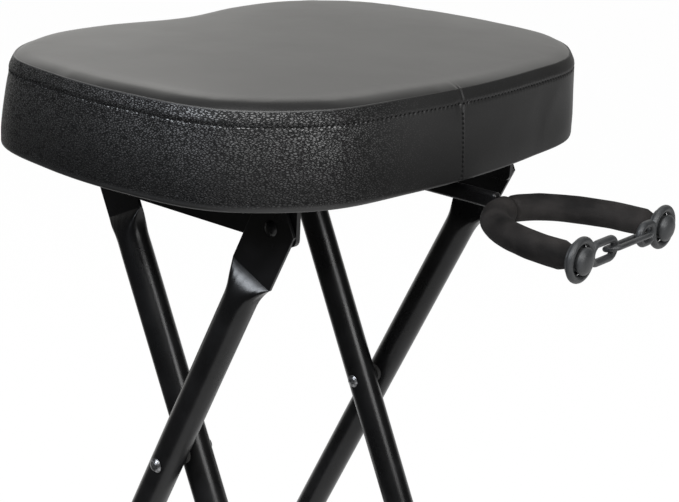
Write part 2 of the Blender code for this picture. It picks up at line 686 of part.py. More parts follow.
ROD_END_X = KNOB_SEAT + KNOB_HEAD + KNOB_GRIP
rod_path = list(reversed(yoke_path(-1, 0, ROD_END_X)))[:-1] + yoke_path(1, 0, ROD_END_X)
curve_piece("yoke_rod", rod_path, YOKE_ROD_R, SEAT, STEEL)


def make_sleeve(label, side):
    """A foam tube over half of the rod, notched where the hanger bar comes in."""
    name = f"yoke_foam_{label}"
    path = yoke_path(side, GAP, ARM_END_X)
    sleeve = as_mesh(curve_piece(name, path, FOAM_R, SEAT, SLEEVE_FOAM, caps=False, resolution=4))
    wall = sleeve.modifiers.new("wall", "SOLIDIFY")
    wall.thickness = FOAM_R - YOKE_ROD_R - GAP
    wall.offset = -1
    boolean(sleeve, HANGER_CUT)


def make_knob(label, side):
    """A round-headed end cap, bored for the rod: flange on the foam, neck for the strap ring, head."""
    bore = YOKE_ROD_R + GAP
    depth = KNOB_HEAD + KNOB_GRIP + GAP
    edge = KNOB_R / 5
    profile = dome(KNOB_R, KNOB_LENGTH - edge, KNOB_HEAD + edge, 5)
    profile[0] = (0, KNOB_HEAD + KNOB_LENGTH)
    profile += [(KNOB_R - edge / 2, KNOB_HEAD), (KNOB_NECK_R, KNOB_HEAD), (KNOB_NECK_R, KNOB_FLANGE),
                (KNOB_FLANGE_R, KNOB_FLANGE), (KNOB_FLANGE_R, 0), (bore, 0), (bore, depth), (0, depth)]
    turned(f"yoke_knob_{label}", profile, SEAT, GREY_PLASTIC, (KNOB_SEAT, side * YOKE_HALF, YOKE_RISE),
           (0, pi / 2, 0))


def oblong(half_length, half_width, steps=6):
    """Middle line of an oblong link, long way along the first number."""
    straight = half_length - half_width
    right = [(straight + half_width * cos(a), half_width * sin(a))
             for a in (-pi / 2 + pi * i / steps for i in range(steps + 1))]
    return right + [(-u, -v) for u, v in right]


def make_ring(label, side, reach, body):
    """A strap ring with an eye at its side, moulded in one."""
    name = f"strap_ring_{label}"
    sides = 20
    angles = [2 * pi * i / sides for i in range(sides)]
    circle = [(RING_X, side * YOKE_HALF + RING_R * cos(a), YOKE_RISE + RING_R * sin(a)) for a in angles]
    ring = as_mesh(curve_piece(name, circle, WIRE_R, body, GREY_PLASTIC, cyclic=True, resolution=2))
    near_end = RING_R
    far_end = reach - WIRE_R
    centre = side * (YOKE_HALF - (near_end + far_end) / 2)
    half = min(LOOP_HALF, (far_end - near_end) / 2)
    eye = [(RING_X, centre + u, YOKE_RISE + v * LOOP_HALF / half)
           for u, v in oblong((far_end - near_end) / 2, half)]
    loop = as_mesh(curve_piece(name + "_eye", eye, WIRE_R, body, None, cyclic=True, resolution=2))
    boolean(ring, loop, "UNION")


for label, side in SIDES.items():
    make_sleeve(label, side)
    make_knob(label, side)
make_ring("near", -1, NEAR_LOOP_REACH, SEAT)
make_ring("far", 1, FAR_LOOP_REACH, STRAP)

link_low = STRAP_AXIS_Y - LOOP_HALF
link_high = YOKE_HALF - (RING_R + FAR_LOOP_REACH - WIRE_R) / 2
link_drop = LOOP_HALF - WIRE_R * (1 + tan(LINK_TILT)) - LINK_WIRE_R / cos(LINK_TILT) - GAP
link_line = [(RING_X + v * cos(LINK_TILT), (link_low + link_high) / 2 + u,
              YOKE_RISE - link_drop + v * sin(LINK_TILT))
             for u, v in oblong((link_high - link_low) / 2, LINK_HALF)]
curve_piece("strap_link", link_line, LINK_WIRE_R, STRAP, GREY_PLASTIC, cyclic=True, resolution=2)


# Places that a drawing would give

def place(name, *values):
    print(name, [round(value, 5) for value in values])


place("scissor axis", -MIDDLE_X, 0, PIVOT_HEIGHT)
place("seat axis", RIVET_X - MIDDLE_X, 0, PIVOT_HEIGHT + RIVET_RISE)
place("strap axis", RING_X - MIDDLE_X, STRAP_AXIS_Y, PIVOT_HEIGHT + YOKE_RISE)
place("outer foot", -PIVOT_HEIGHT * tan(OUTER_TILT) - MIDDLE_X, -OUTER_SPACING / 2, 0)
place("inner foot", PIVOT_HEIGHT * tan(INNER_TILT) - MIDDLE_X, -INNER_SPACING / 2, 0)
place("seat top", PIVOT_HEIGHT + SEAM_Z + CROWN)
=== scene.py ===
# %% [markdown]
# # A folding guitar stool, dressed
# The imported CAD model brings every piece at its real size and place: scissor legs, rails, screws,
# a padded seat and a neck yoke with a strap. This lesson gives those pieces their finish, makes finer
# skins for the legs, spacers, end caps and strap, and replaces the soft pieces with a sewn cushion,
# foam sleeves and a cloth lining.
# All lengths are metres, +Z is up, and the floor is at z = 0.

# %% Frame
import json
from bisect import bisect
from math import atan2, ceil, cos, exp, pi, radians, sin

import bmesh
import bpy
from mathutils import Matrix, Vector, noise
from mathutils.geometry import delaunay_2d_cdt
from mathutils.kdtree import KDTree


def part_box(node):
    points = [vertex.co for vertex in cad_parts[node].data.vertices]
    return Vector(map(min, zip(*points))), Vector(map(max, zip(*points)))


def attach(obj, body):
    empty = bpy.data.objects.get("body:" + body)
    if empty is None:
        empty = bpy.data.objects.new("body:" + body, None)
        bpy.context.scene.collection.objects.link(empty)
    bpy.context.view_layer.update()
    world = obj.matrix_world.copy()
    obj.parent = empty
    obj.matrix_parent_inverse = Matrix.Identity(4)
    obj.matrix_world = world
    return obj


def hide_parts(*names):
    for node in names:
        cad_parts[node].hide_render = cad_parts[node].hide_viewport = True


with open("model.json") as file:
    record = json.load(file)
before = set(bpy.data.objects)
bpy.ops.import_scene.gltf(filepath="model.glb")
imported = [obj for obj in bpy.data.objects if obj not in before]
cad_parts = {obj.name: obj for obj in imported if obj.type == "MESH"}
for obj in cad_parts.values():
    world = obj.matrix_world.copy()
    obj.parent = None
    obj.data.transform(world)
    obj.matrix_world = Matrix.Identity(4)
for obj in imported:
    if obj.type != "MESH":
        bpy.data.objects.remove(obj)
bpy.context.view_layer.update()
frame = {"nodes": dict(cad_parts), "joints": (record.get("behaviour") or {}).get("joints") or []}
NODES = frame["nodes"]
PIVOT = {joint["name"]: Vector(joint["pos_m"]) for joint in frame["joints"]}
SCISSOR = PIVOT["leg_fold"]
print(len(NODES), "CAD nodes, scissor axis at", tuple(round(value, 4) for value in SCISSOR))

# %% [markdown]
# ## Camera
# The photograph looks down on the seat from the yoke's side, a little rolled, and cuts the legs off.
# A camera could be set by eye. Here lens, place and angles come from fitting the four straight tubes
# and the seat's outline, so each edge can be compared with the photograph's, and the camera needs no
# shift: its middle is the picture's middle.

# %% Camera
IMAGE_WIDTH = 679
FOCAL_PIXELS = 1529.3
SENSOR = 36.0
CAMERA_FROM_SCISSOR = Vector((0.7787, -0.8774, 0.5334))
CAMERA_AZIMUTH = radians(39.62)
CAMERA_ELEVATION = radians(18.41)
CAMERA_ROLL = radians(2.74)

camera_data = bpy.data.cameras.new("camera")
camera_data.sensor_width = SENSOR
camera_data.lens = FOCAL_PIXELS * SENSOR / IMAGE_WIDTH
camera = bpy.data.objects.new("camera", camera_data)
turn = Matrix.Rotation(CAMERA_AZIMUTH, 4, "Z") @ Matrix.Rotation(pi / 2 - CAMERA_ELEVATION, 4, "X")
camera.matrix_world = (Matrix.Translation(SCISSOR + CAMERA_FROM_SCISSOR) @ turn
                       @ Matrix.Rotation(CAMERA_ROLL, 4, "Z"))
bpy.context.scene.collection.objects.link(camera)
bpy.context.scene.camera = camera
bpy.context.scene.view_settings.view_transform = "Standard"
print("lens", round(camera_data.lens, 1), "mm")

# %% [markdown]
# ## Shader helpers
# Finishes could be wired by hand in the shader editor, but node trees are easier to read as sums.
# `Value` wraps one output socket, and Python's operators on it add Math nodes. `Nodes` is one node
# tree, whose `node` method makes every other kind of node, and `Finish` is a material with its own
# tree and a few patterns that the finishes share.

# %% Values
class Value:
    """One output of a shader node. Arithmetic on it adds Math nodes to the same tree."""

    def __init__(self, nodes, socket):
        self.nodes = nodes
        self.socket = socket

    def math(self, operation, *terms):
        return self.nodes.node("Math", {"operation": operation}, dict(enumerate(terms)))

    def __add__(self, other):
        return self.math("ADD", self, other)

    def __sub__(self, other):
        return self.math("SUBTRACT", self, other)

    def __rsub__(self, other):
        return self.math("SUBTRACT", other, self)

    def __mul__(self, other):
        return self.math("MULTIPLY", self, other)

    __radd__ = __add__
    __rmul__ = __mul__

    def most(self, other):
        return self.math("MAXIMUM", self, other)

    def least(self, other):
        return self.math("MINIMUM", self, other)

    def step(self, low, high):
        """0 below low and 1 above high, smooth between them."""
        return self.nodes.node("MapRange", {"interpolation_type": "SMOOTHSTEP"},
                               {"Value": self, "From Min": low, "From Max": high})


print("Value turns sums into Math nodes")

# %% Node trees
class Nodes:
    """A node tree of a material or of the world."""

    def __init__(self, tree):
        self.tree = tree

    def plug(self, socket, value):
        if isinstance(value, Value):
            self.tree.links.new(value.socket, socket)
        elif isinstance(value, (tuple, list)) and socket.type == "RGBA":
            socket.default_value = (*value, 1.0)
        else:
            socket.default_value = value

    def node(self, kind, settings, sockets, out=0):
        made = self.tree.nodes.new("ShaderNode" + kind)
        for name, value in settings.items():
            setattr(made, name, value)
        for name, value in sockets.items():
            self.plug(made.inputs[name], value)
        return Value(self, made.outputs[out])


print("Nodes makes every other kind of node")

# %% Finishes
class Finish(Nodes):
    """A material on one Principled shader; what is the same all over is set on its own sockets."""

    def __init__(self, name, **constants):
        self.material = bpy.data.materials.new(name)
        self.material.use_nodes = True
        super().__init__(self.material.node_tree)
        self.shader = self.tree.nodes["Principled BSDF"]
        self.place = self.node("TexCoord", {}, {}, out="Object")
        for name, value in constants.items():
            self.set(name.replace("_", " ").title().replace("Ior", "IOR"), value)

    def set(self, name, value):
        self.plug(self.shader.inputs[name], value)

    def stretched(self, stretch):
        """The place on the surface, drawn out along the axes."""
        return self.node("VectorMath", {"operation": "MULTIPLY"}, {0: self.place, 1: stretch})

    def noise(self, scale, detail=2.0, stretch=(1, 1, 1)):
        """Even noise, its grains 1 / scale across; stretch draws them out."""
        sockets = {"Vector": self.stretched(stretch), "Scale": scale, "Detail": detail}
        return self.node("TexNoise", {}, sockets, out="Fac")

    def shade(self, mask, dark, light):
        """A colour from dark to light by a mask."""
        return self.node("Mix", {"data_type": "RGBA"}, {0: mask, 6: dark, 7: light}, out=2)

    def bump(self, height, depth, under=None):
        """A normal for a height from 0 to 1 that stands depth proud, over another normal."""
        sockets = {"Height": height, "Distance": depth, "Strength": 1.0}
        if under is not None:
            sockets["Normal"] = under
        return self.node("Bump", {}, sockets)


print("Finish makes a material with its patterns")

# %% [markdown]
# ## Black paint
# Legs, bars, rails and plates are steel with a semi-gloss black paint. One colour and one gloss would
# look like plastic, because sprayed paint is never quite flat: a slow noise gives it a faint orange
# peel, and a second one lets colour and gloss wander.

# %% Black paint
PAINT_DARK = (0.0030, 0.0030, 0.0032)
PAINT_PALE = (0.0060, 0.0060, 0.0064)
PEEL_DEPTH = 0.00002

paint = Finish("black_paint", specular_ior_level=0.27)
peel = paint.noise(260, detail=1.0)
wander = paint.noise(38, detail=3.0)
paint.set("Base Color", paint.shade(wander.step(0.35, 0.75), PAINT_DARK, PAINT_PALE))
paint.set("Roughness", 0.22 + wander * 0.13)
paint.set("Normal", paint.bump(peel, PEEL_DEPTH))
print("black paint ready")

# %% [markdown]
# ## Steel, rubber, plastic and plywood
# Screws, rods, staples and the scissor's rivets are blackened steel, rubbed brighter in spots. Feet and
# spacers are rubber, matt and dusty. End caps, rings and link are moulded grey plastic: satin, with the
# fine texture of the mould. The board in the seat is plywood, its grain drawn out along the board.
# Images could give these textures, but a noise needs no unwrapping and stays sharp at any distance.

# %% Steel, rubber, plastic and plywood
STEEL_DARK = (0.08, 0.08, 0.082)
STEEL_RUBBED = (0.36, 0.36, 0.37)
STEEL_PITS = 0.00006
RUBBER_BLACK = (0.010, 0.010, 0.010)
RUBBER_DUSTY = (0.026, 0.025, 0.024)
RUBBER_PITS = 0.0001
PLASTIC_DARK = (0.018, 0.019, 0.020)
PLASTIC_PALE = (0.027, 0.028, 0.029)
MOULD_PITS = 0.00008
PLY_DARK = (0.42, 0.27, 0.13)
PLY_PALE = (0.60, 0.43, 0.25)
PLY_GRAIN = (1, 14, 14)

steel = Finish("blackened_steel", metallic=0.8)
rub = steel.noise(420, detail=3.0)
steel.set("Base Color", steel.shade(rub.step(0.4, 0.8), STEEL_DARK, STEEL_RUBBED))
steel.set("Roughness", 0.22 + rub * 0.2)
steel.set("Normal", steel.bump(rub, STEEL_PITS))

rubber = Finish("black_rubber", specular_ior_level=0.3)
dust = rubber.noise(150, detail=4.0)
rubber.set("Base Color", rubber.shade(dust.step(0.3, 0.8), RUBBER_BLACK, RUBBER_DUSTY))
rubber.set("Roughness", 0.68 + dust * 0.2)
rubber.set("Normal", rubber.bump(dust, RUBBER_PITS))

plastic = Finish("grey_plastic", specular_ior_level=0.34)
mould = plastic.noise(1500, detail=2.0)
cloud = plastic.noise(90, detail=2.0)
plastic.set("Base Color", plastic.shade(cloud.step(0.3, 0.7), PLASTIC_DARK, PLASTIC_PALE))
plastic.set("Roughness", 0.36 + cloud * 0.14)
plastic.set("Normal", plastic.bump(mould, MOULD_PITS))

plywood = Finish("plywood")
ply = plywood.noise(30, detail=4.0, stretch=PLY_GRAIN)
plywood.set("Base Color", plywood.shade(ply.step(0.3, 0.7), PLY_DARK, PLY_PALE))
plywood.set("Roughness", 0.6 + ply * 0.2)
print("steel, rubber, plastic and plywood ready")

# %% [markdown]
# ## Clothing the CAD pieces
# Rails, plates, bars, rods, rivets, screws, feet and board keep the CAD's own mesh. It could be edited,
# but then it would no longer be the CAD's, so modifiers do the work: a weld joins the facets, a bevel
# breaks the edges of the sheet metal and rounds the hanger bar, and split edges with weighted normals
# let curved faces shade as one. The seat's rivets are as black as the legs, so they get paint too.

# %% Clothing the CAD pieces
WELD_WITHIN = 0.00002
SHEET_EDGE = 0.0005
BAR_EDGE = 0.0028
EDGE_SEGMENTS = 3
EDGE_ANGLE = radians(38)


def clothe(names, finish, edge=0.0):
    """Gives CAD nodes a finish, lets their curved faces shade as one and can round their edges."""
    for name in names:
        node = NODES[name]
        node.data.materials.clear()
        node.data.materials.append(finish.material)
        weld = node.modifiers.new("weld", "WELD")
        weld.merge_threshold = WELD_WITHIN
        if edge:
            bevel = node.modifiers.new("broken_edges", "BEVEL")
            bevel.width = edge
            bevel.segments = EDGE_SEGMENTS
            bevel.limit_method = "ANGLE"
            bevel.angle_limit = EDGE_ANGLE
        split = node.modifiers.new("sharp_edges", "EDGE_SPLIT")
        split.split_angle = EDGE_ANGLE
        split.use_edge_sharp = False
        node.modifiers.new("even_shading", "WEIGHTED_NORMAL")


SHEETS = ("rail_near", "rail_far", "hanger_plate_inner", "hanger_plate_outer")
RODS = ("hook_rod", "yoke_rod")
BARE = [name for name in NODES if "scissor_rivet" in name or "screw" in name or name in RODS]
clothe([name for name in NODES if "crossbar" in name or "seat_rivet" in name], paint)
clothe(SHEETS, paint, SHEET_EDGE)
clothe(["hanger_bar"], paint, BAR_EDGE)
clothe(BARE, steel)
clothe([name for name in NODES if "foot" in name], rubber)
clothe(["seat_board"], plywood)
print(len(BARE), "bare steel pieces, the others painted, rubber or plywood")

# %% [markdown]
# ## Legs
# Each leg is one tube whose top has been pressed flat in a die. Below a crisp crease the flat
# runs out into the round tube as a short ramp, and the die has drawn faint lines down that ramp. The
# CAD leg has few faces, and subdividing it would soften the crease. A finer skin of the same form
# takes its place: rings of points that go from round to flat, lofted in order.

# %% Making a piece
def finish_piece(name, build, finish, body, sharp=50):
    """Turns a bmesh into a piece that rides on a body."""
    bmesh.ops.recalc_face_normals(build, faces=build.faces)
    mesh = bpy.data.meshes.new(name)
    build.to_mesh(mesh)
    build.free()
    mesh.shade_smooth()
    mesh.set_sharp_from_angle(angle=radians(sharp))
    mesh.materials.append(finish.material)
    piece = bpy.data.objects.new(name, mesh)
    bpy.context.scene.collection.objects.link(piece)
    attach(piece, body)
    return piece


def loft(build, rings, closed=False):
    """Faces between rings of as many points; the ends are capped unless the rings close on themselves."""
    loops = [[build.verts.new(point) for point in ring] for ring in rings]
    pairs = list(zip(loops, loops[1:]))
    if closed:
        pairs.append((loops[-1], loops[0]))
    for low, high in pairs:
        count = len(low)
        for m in range(count):
            n = (m + 1) % count
            build.faces.new((low[m], low[n], high[n], high[m]))
    if not closed:
        build.faces.new(loops[0])
        build.faces.new(loops[-1])


print("loft ready")

# %% Section of a leg
LEG_SIDES = 72
CIRCLE = 2
DIE_LINE = 0.0004
DIE_LINES_ACROSS = 10
DIE_FACES_APART = 3.0
DIE_ROW = 0.5


def leg_ring(height, half, thick, fullness, pressing):
    """One section: a circle at fullness 2, boxier above that; pressing draws the die's lines."""
    ring = []
    for i in range(LEG_SIDES):
        angle = 2 * pi * i / LEG_SIDES
        across = cos(angle)
        side = 0 if i in (0, LEG_SIDES // 2) else (1 if sin(angle) > 0 else -1)
        rise = max(0.0, 1 - abs(across) ** fullness) ** (1 / fullness)
        spot = Vector((across * DIE_LINES_ACROSS, side * DIE_FACES_APART, DIE_ROW))
        line = DIE_LINE * pressing * noise.noise(spot)
        ring.append(Vector((half * across, side * (thick * rise + line), height)))
    return ring


print("sections of", LEG_SIDES, "points")

# %% Legs
TUBE_R = 0.0127
FLAT_THICKNESS = 0.003
FLAT_HALF = pi * TUBE_R / 2
FLAT_START = 0.194
FLAT_TAPER = 0.037
FLAT_BEYOND = 0.018
FLAT_CORNER = 0.007
FLAT_TOP_HALF = 0.006
RIVET_RISE = PIVOT["seat_flip"].z - SCISSOR.z
FOOT_SOLE = 0.006
OUTER_TILT = radians(25.4)
INNER_TILT = radians(25.0)
LEG_SHARP = 24
RAMP_STEPS = 26
BOXIER = 10
WIDEN_POWER = 4
THIN_POWER = 3
BOX_POWER = 5
PRESS_GAIN = 4


def leg_rings(tilt):
    """The rings of one leg along its own axis, measured from the scissor's rivet."""
    rivet = RIVET_RISE / cos(tilt)
    bottom = -(SCISSOR.z - FOOT_SOLE - TUBE_R * sin(tilt)) / cos(tilt)
    flat = FLAT_THICKNESS / 2
    rings = [leg_ring(bottom, TUBE_R, TUBE_R, CIRCLE, 0)]
    for i in range(RAMP_STEPS + 1):
        down = (1 - i / RAMP_STEPS) ** 2
        up = 1 - down
        half = TUBE_R + (FLAT_HALF - TUBE_R) * up ** WIDEN_POWER
        thick = TUBE_R + (flat - TUBE_R) * up ** THIN_POWER
        fullness = CIRCLE + BOXIER * up ** BOX_POWER
        pressing = PRESS_GAIN * down * up ** THIN_POWER
        rings.append(leg_ring(FLAT_START - FLAT_TAPER * down, half, thick, fullness, pressing))
    rings.append(leg_ring(rivet + FLAT_CORNER, FLAT_HALF, flat, CIRCLE + BOXIER, 0))
    rings.append(leg_ring(rivet + FLAT_BEYOND, FLAT_TOP_HALF, flat, CIRCLE + BOXIER, 0))
    return rings


def make_leg(kind, label, tilt, lean):
    low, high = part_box(f"{kind}_leg_{label}")
    place = Matrix.Translation((SCISSOR.x, (low.y + high.y) / 2, SCISSOR.z)) @ Matrix.Rotation(lean, 4, "Y")
    build = bmesh.new()
    loft(build, [[place @ point for point in ring] for ring in leg_rings(tilt)])
    leg = finish_piece(f"{kind}_leg_skin_{label}", build, paint, f"{kind}_frame", LEG_SHARP)
    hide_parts(f"{kind}_leg_{label}")


for label in ("near", "far"):
    make_leg("outer", label, OUTER_TILT, OUTER_TILT)
    make_leg("inner", label, INNER_TILT, -INNER_TILT)
print("4 legs of", LEG_SIDES, "sides")

# %% [markdown]
# ## Spacers
# Where two tubes cross, a rubber ring on the scissor's rivet keeps them apart. Two cylinders and a
# Boolean would make it too. Four rings of points, lofted until they close on themselves, need no cut
# and leave clean square edges.

# %% Spacers
SPACER_R = 0.0078
SPACER_HOLE = 0.0043
SPACER_SIDES = 40
SPACER_SHARP = 40


def make_spacer(label):
    """A rubber ring round the scissor rivet, squeezed between the crossing tubes."""
    low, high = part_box(f"scissor_spacer_{label}")
    turn = [2 * pi * m / SPACER_SIDES for m in range(SPACER_SIDES)]
    rings = []
    for radius, y in ((SPACER_R, low.y), (SPACER_R, high.y), (SPACER_HOLE, high.y), (SPACER_HOLE, low.y)):
        rings.append([Vector((SCISSOR.x + radius * cos(a), y, SCISSOR.z + radius * sin(a))) for a in turn])
    build = bmesh.new()
    loft(build, rings, closed=True)
    spacer = finish_piece(f"spacer_ring_{label}", build, rubber, "outer_frame", SPACER_SHARP)
    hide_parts(f"scissor_spacer_{label}")


make_spacer("near")
make_spacer("far")
print("2 spacers", round(SPACER_R * 2000, 1), "mm across")

# %% [markdown]
# ## Leatherette
# The cover is black vinyl on cloth with a pebbled grain. Real relief would need millions of faces and
# a picture would show its repeats, so a Voronoi pattern, bent by noise, gives the pebbles and the creases
# between them; the creases' darker colour is painted shade, standing in for the shadow in them. The
# pebbles' tops shine more than the creases, which a coat on them gives, more of it higher up the side.
# Where the vinyl is pulled round an edge or into the seam its grain is flat, and the side turns smooth
# towards the far end. The top panel is pulled tight over the foam: hardly any grain, faint waves, and a
# wider sheen.

# %% Pebbles
PEBBLES_PER_METRE = 690
PEBBLE_STRETCH = (0.62, 0.62, 1.4)
BENDS_PER_METRE = 330
BEND_SHIFT = 0.0007


def creases(finish):
    """How far a spot is from the nearest crease between two pebbles."""
    sockets = {"Vector": finish.place, "Scale": BENDS_PER_METRE, "Detail": 1.0}
    bend = finish.node("TexNoise", {}, sockets, out="Color")
    shift = finish.node("VectorMath", {"operation": "SCALE"}, {0: bend, "Scale": BEND_SHIFT})
    spot = finish.node("VectorMath", {"operation": "ADD"}, {0: finish.stretched(PEBBLE_STRETCH), 1: shift})
    return finish.node("TexVoronoi", {"feature": "DISTANCE_TO_EDGE"},
                       {"Vector": spot, "Scale": PEBBLES_PER_METRE}, out="Distance")


print("pebbles", [round(1000 / PEBBLES_PER_METRE / share, 1) for share in PEBBLE_STRETCH], "mm across")

# %% Leatherette
PEBBLE_SLOPE = (0.0, 0.42)
PEBBLE_TOP = (0.06, 0.32)
PEBBLE_SHARE = 0.75
WAVES_PER_METRE = 22
WAVE_DULL = 0.08
# The creases' colour is painted shade: darker than the pebbles to stand in for the shadow between them.
CREASE_PAINTED_SHADE = (0.0008, 0.0008, 0.0009)
PEBBLE_BLACK = (0.0085, 0.0084, 0.0083)
POLISH_ROUGHNESS = 0.48
POLISH_IOR = 1.9

COVER_LOW, COVER_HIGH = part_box("seat_cover")
CROWN = 0.009
SEAM_Z = COVER_HIGH.z - CROWN
EDGE_PULL_Z = (COVER_LOW.z + 0.002, COVER_LOW.z + 0.006)
SEAM_PULL_Z = (SEAM_Z - 0.0016, SEAM_Z - 0.0008)
POLISHED_Z = (COVER_LOW.z + 0.008, COVER_LOW.z + 0.058)
POLISH_LOW = 0.35
ROLLED_Z = (SEAM_Z - 0.012, SEAM_Z - 0.007)
ROLLED_LOSS = 0.35
SMOOTH_Y = (-0.14, -0.03)
SMOOTHEST = 0.85
SMOOTH_LOSS = 0.75


def leatherette(name, grain_depth, wave_depth, roughness, crease_dull, smooth_dull, shine, polish):
    """Vinyl: depths of grain and waves, its roughness and what adds to it, its shine and its polish."""
    finish = Finish(name, specular_ior_level=shine, coat_roughness=POLISH_ROUGHNESS, coat_ior=POLISH_IOR)
    crease = creases(finish)
    height = finish.node("SeparateXYZ", {}, {0: finish.place}, out="Z")
    along_side = finish.node("SeparateXYZ", {}, {0: finish.place}, out="Y")
    pulled = (1 - height.step(*EDGE_PULL_Z)).most(height.step(*SEAM_PULL_Z))
    smooth = along_side.step(*SMOOTH_Y)
    raised = crease.step(*PEBBLE_SLOPE).most(pulled.most(smooth * SMOOTHEST))
    slow = finish.noise(WAVES_PER_METRE, detail=3.0)
    # Painted shade: the colour darkens in the creases, where shadow would fall; the slow noise adds a random
    # tone.
    tone = raised * PEBBLE_SHARE + slow * (1 - PEBBLE_SHARE)
    finish.set("Base Color", finish.shade(tone, CREASE_PAINTED_SHADE, PEBBLE_BLACK))
    finish.set("Roughness", roughness + WAVE_DULL * slow + crease_dull * (1 - raised) + smooth_dull * smooth)
    tops = crease.step(*PEBBLE_TOP).most(pulled.most(smooth))
    handled = POLISH_LOW + (1 - POLISH_LOW) * height.step(*POLISHED_Z)
    rolled = 1 - ROLLED_LOSS * height.step(*ROLLED_Z)
    finish.set("Coat Weight", polish * tops * handled * rolled * (1 - SMOOTH_LOSS * smooth))
    finish.set("Normal", finish.bump(raised, grain_depth, finish.bump(slow, wave_depth)))
    return finish


top_leather = leatherette("leatherette_top", grain_depth=0.00001, wave_depth=0.0001, roughness=0.27,
                          crease_dull=0.06, smooth_dull=0.0, shine=0.52, polish=0.0)
side_leather = leatherette("leatherette_side", grain_depth=0.0006, wave_depth=0.0004, roughness=0.38,
                           crease_dull=0.10, smooth_dull=0.10, shine=0.12, polish=1.0)
print("leatherette for top and side, seam at", round(SEAM_Z, 4))

# %% [markdown]
# ## Seat outline
# The seat is a rounded trapezium with a dip at the back. Half of it is given as the same knots
# the CAD uses, and a Catmull-Rom curve runs through them. A Bezier curve would do as well, with handles
# to set at each knot. The curve's own points lie unevenly, so points are set along it again, at even
# steps that suit the stitches, and finer ones where the boxing's ends are sewn together.

# %% Curve of the seat
HALF_OUTLINE = (
    (0.1786, 0.0000), (0.1742, 0.0744), (0.1612, 0.1477), (0.1138, 0.2038), (0.0417, 0.2203),
    (-0.0329, 0.2194), (-0.1037, 0.2022), (-0.1477, 0.1447), (-0.1549, 0.0735), (-0.1429, 0.0000),
)
STEPS_PER_KNOT = 40


def curve_through(knots, per_span):
    """A closed Catmull-Rom curve."""
    count = len(knots)
    points = []
    for i in range(count):
        before, start, end, after = (knots[(i + k - 1) % count] for k in range(4))
        for step in range(per_span):
            t = step / per_span
            bend = (2 * before - 5 * start + 4 * end - after) * t * t
            twist = (3 * start - before - 3 * end + after) * t * t * t
            points.append((2 * start + (end - before) * t + bend + twist) / 2)
    return points


half = [Vector(point) for point in HALF_OUTLINE]
knots = half + [Vector((x, -y)) for x, y in reversed(HALF_OUTLINE[1:-1])]
curve = curve_through(knots, STEPS_PER_KNOT)
print(len(curve), "points on the curve")

# %% Even steps round the seat
COARSE_STEP = 0.0012
FINE_STEP = 0.0004
FINE_REACH = 0.006
SEAM_FROM_FRONT = 0.0185


def stations_along(length, seam):
    """Distances round the outline: even steps, and fine ones to both sides of the boxing seam."""
    coarse = [length * i / ceil(length / COARSE_STEP) for i in range(ceil(length / COARSE_STEP))]
    fine_count = ceil(FINE_REACH / FINE_STEP)
    fine = [seam + FINE_STEP * (k + 0.5) for k in range(-fine_count, fine_count)]
    return sorted([at for at in coarse if abs(at - seam) > FINE_REACH + FINE_STEP] + fine)


def spread(points, seam_from_end):
    """The closed curve with its points at the stations, the stations and the whole length."""
    ring = points + points[:1]
    lengths = [0.0]
    for a, b in zip(ring, ring[1:]):
        lengths.append(lengths[-1] + (b - a).length)
    stations = stations_along(lengths[-1], lengths[-1] - seam_from_end)
    placed = []
    at = 0
    for want in stations:
        while lengths[at + 1] < want:
            at += 1
        share = (want - lengths[at]) / (lengths[at + 1] - lengths[at])
        placed.append(ring[at].lerp(ring[at + 1], share))
    return placed, stations, lengths[-1]


OUTLINE, STATIONS, PERIMETER = spread(curve, SEAM_FROM_FRONT)
AROUND = len(OUTLINE)
SEAM_AT = PERIMETER - SEAM_FROM_FRONT
INWARD = []
for i in range(AROUND):
    run = (OUTLINE[(i + 1) % AROUND] - OUTLINE[i - 1]).normalized()
    INWARD.append(Vector((-run.y, run.x)))
print("outline", round(PERIMETER, 3), "m round,", AROUND, "points")

# %% [markdown]
# ## Sides of the cushion
# The boxing is a strip sewn round the seat. It turns under the board at the bottom, leans in on its way
# up, dips where the topstitching holds it, rolls over as a soft band and ends in the top seam's groove.
# It could be sculpted, but a profile keeps seam and stitches at their heights all round. Each level of
# the profile is an inset, a height and a share of the lean, and the strip is lofted through the levels.

# %% Profile of the boxing
SEAT_LOW = COVER_LOW.z
HEM = 0.020
HEM_TURN = 0.7
BOTTOM_R = 0.003
BOTTOM_STEPS = 6
SIDE_FROM = 0.012
SIDE_STEPS = 8
LEAN_POWER = 1.3
BAND = 0.0105
STITCH_Z = SEAM_Z - BAND
BAND_PROFILE = (
    (0.0001, -0.0030), (0.0001, -0.0014), (0.0003, -0.0006), (0.0005, 0.0000), (0.0003, 0.0006),
    (0.0002, 0.0014), (0.0005, 0.0030), (0.0014, 0.0052), (0.0024, 0.0072), (0.0034, 0.0090),
    (0.0040, 0.0099), (0.0044, 0.0101), (0.0048, 0.0097), (0.0051, 0.0099),
)

profile = [(HEM, SEAT_LOW, 0.0), (HEM * HEM_TURN, SEAT_LOW, 0.0)]
for k in range(BOTTOM_STEPS + 1):
    angle = pi / 2 * k / BOTTOM_STEPS
    profile.append((BOTTOM_R * (1 - sin(angle)), SEAT_LOW + BOTTOM_R * (1 - cos(angle)), 0.0))
side_low = SEAT_LOW + SIDE_FROM
side_high = STITCH_Z + BAND_PROFILE[0][1]
for k in range(SIDE_STEPS):
    share = k / SIDE_STEPS
    profile.append((0.0, side_low + (side_high - side_low) * share, share ** LEAN_POWER))
profile += [(inset, STITCH_Z + rise, 1.0) for inset, rise in BAND_PROFILE]
print(len(profile), "levels from hem to top seam")

# %% [markdown]
# A strip that only follows its profile looks moulded. So the side leans more at the near end than at the
# far one, its bottom edge flares at the near end, each stitch pulls it in, and slow noise makes it
# uneven. Where the strip's two ends meet, one laps over the other and stands proud by about half the
# vinyl's thickness, with a small dent beside the lap at the topstitching's height.

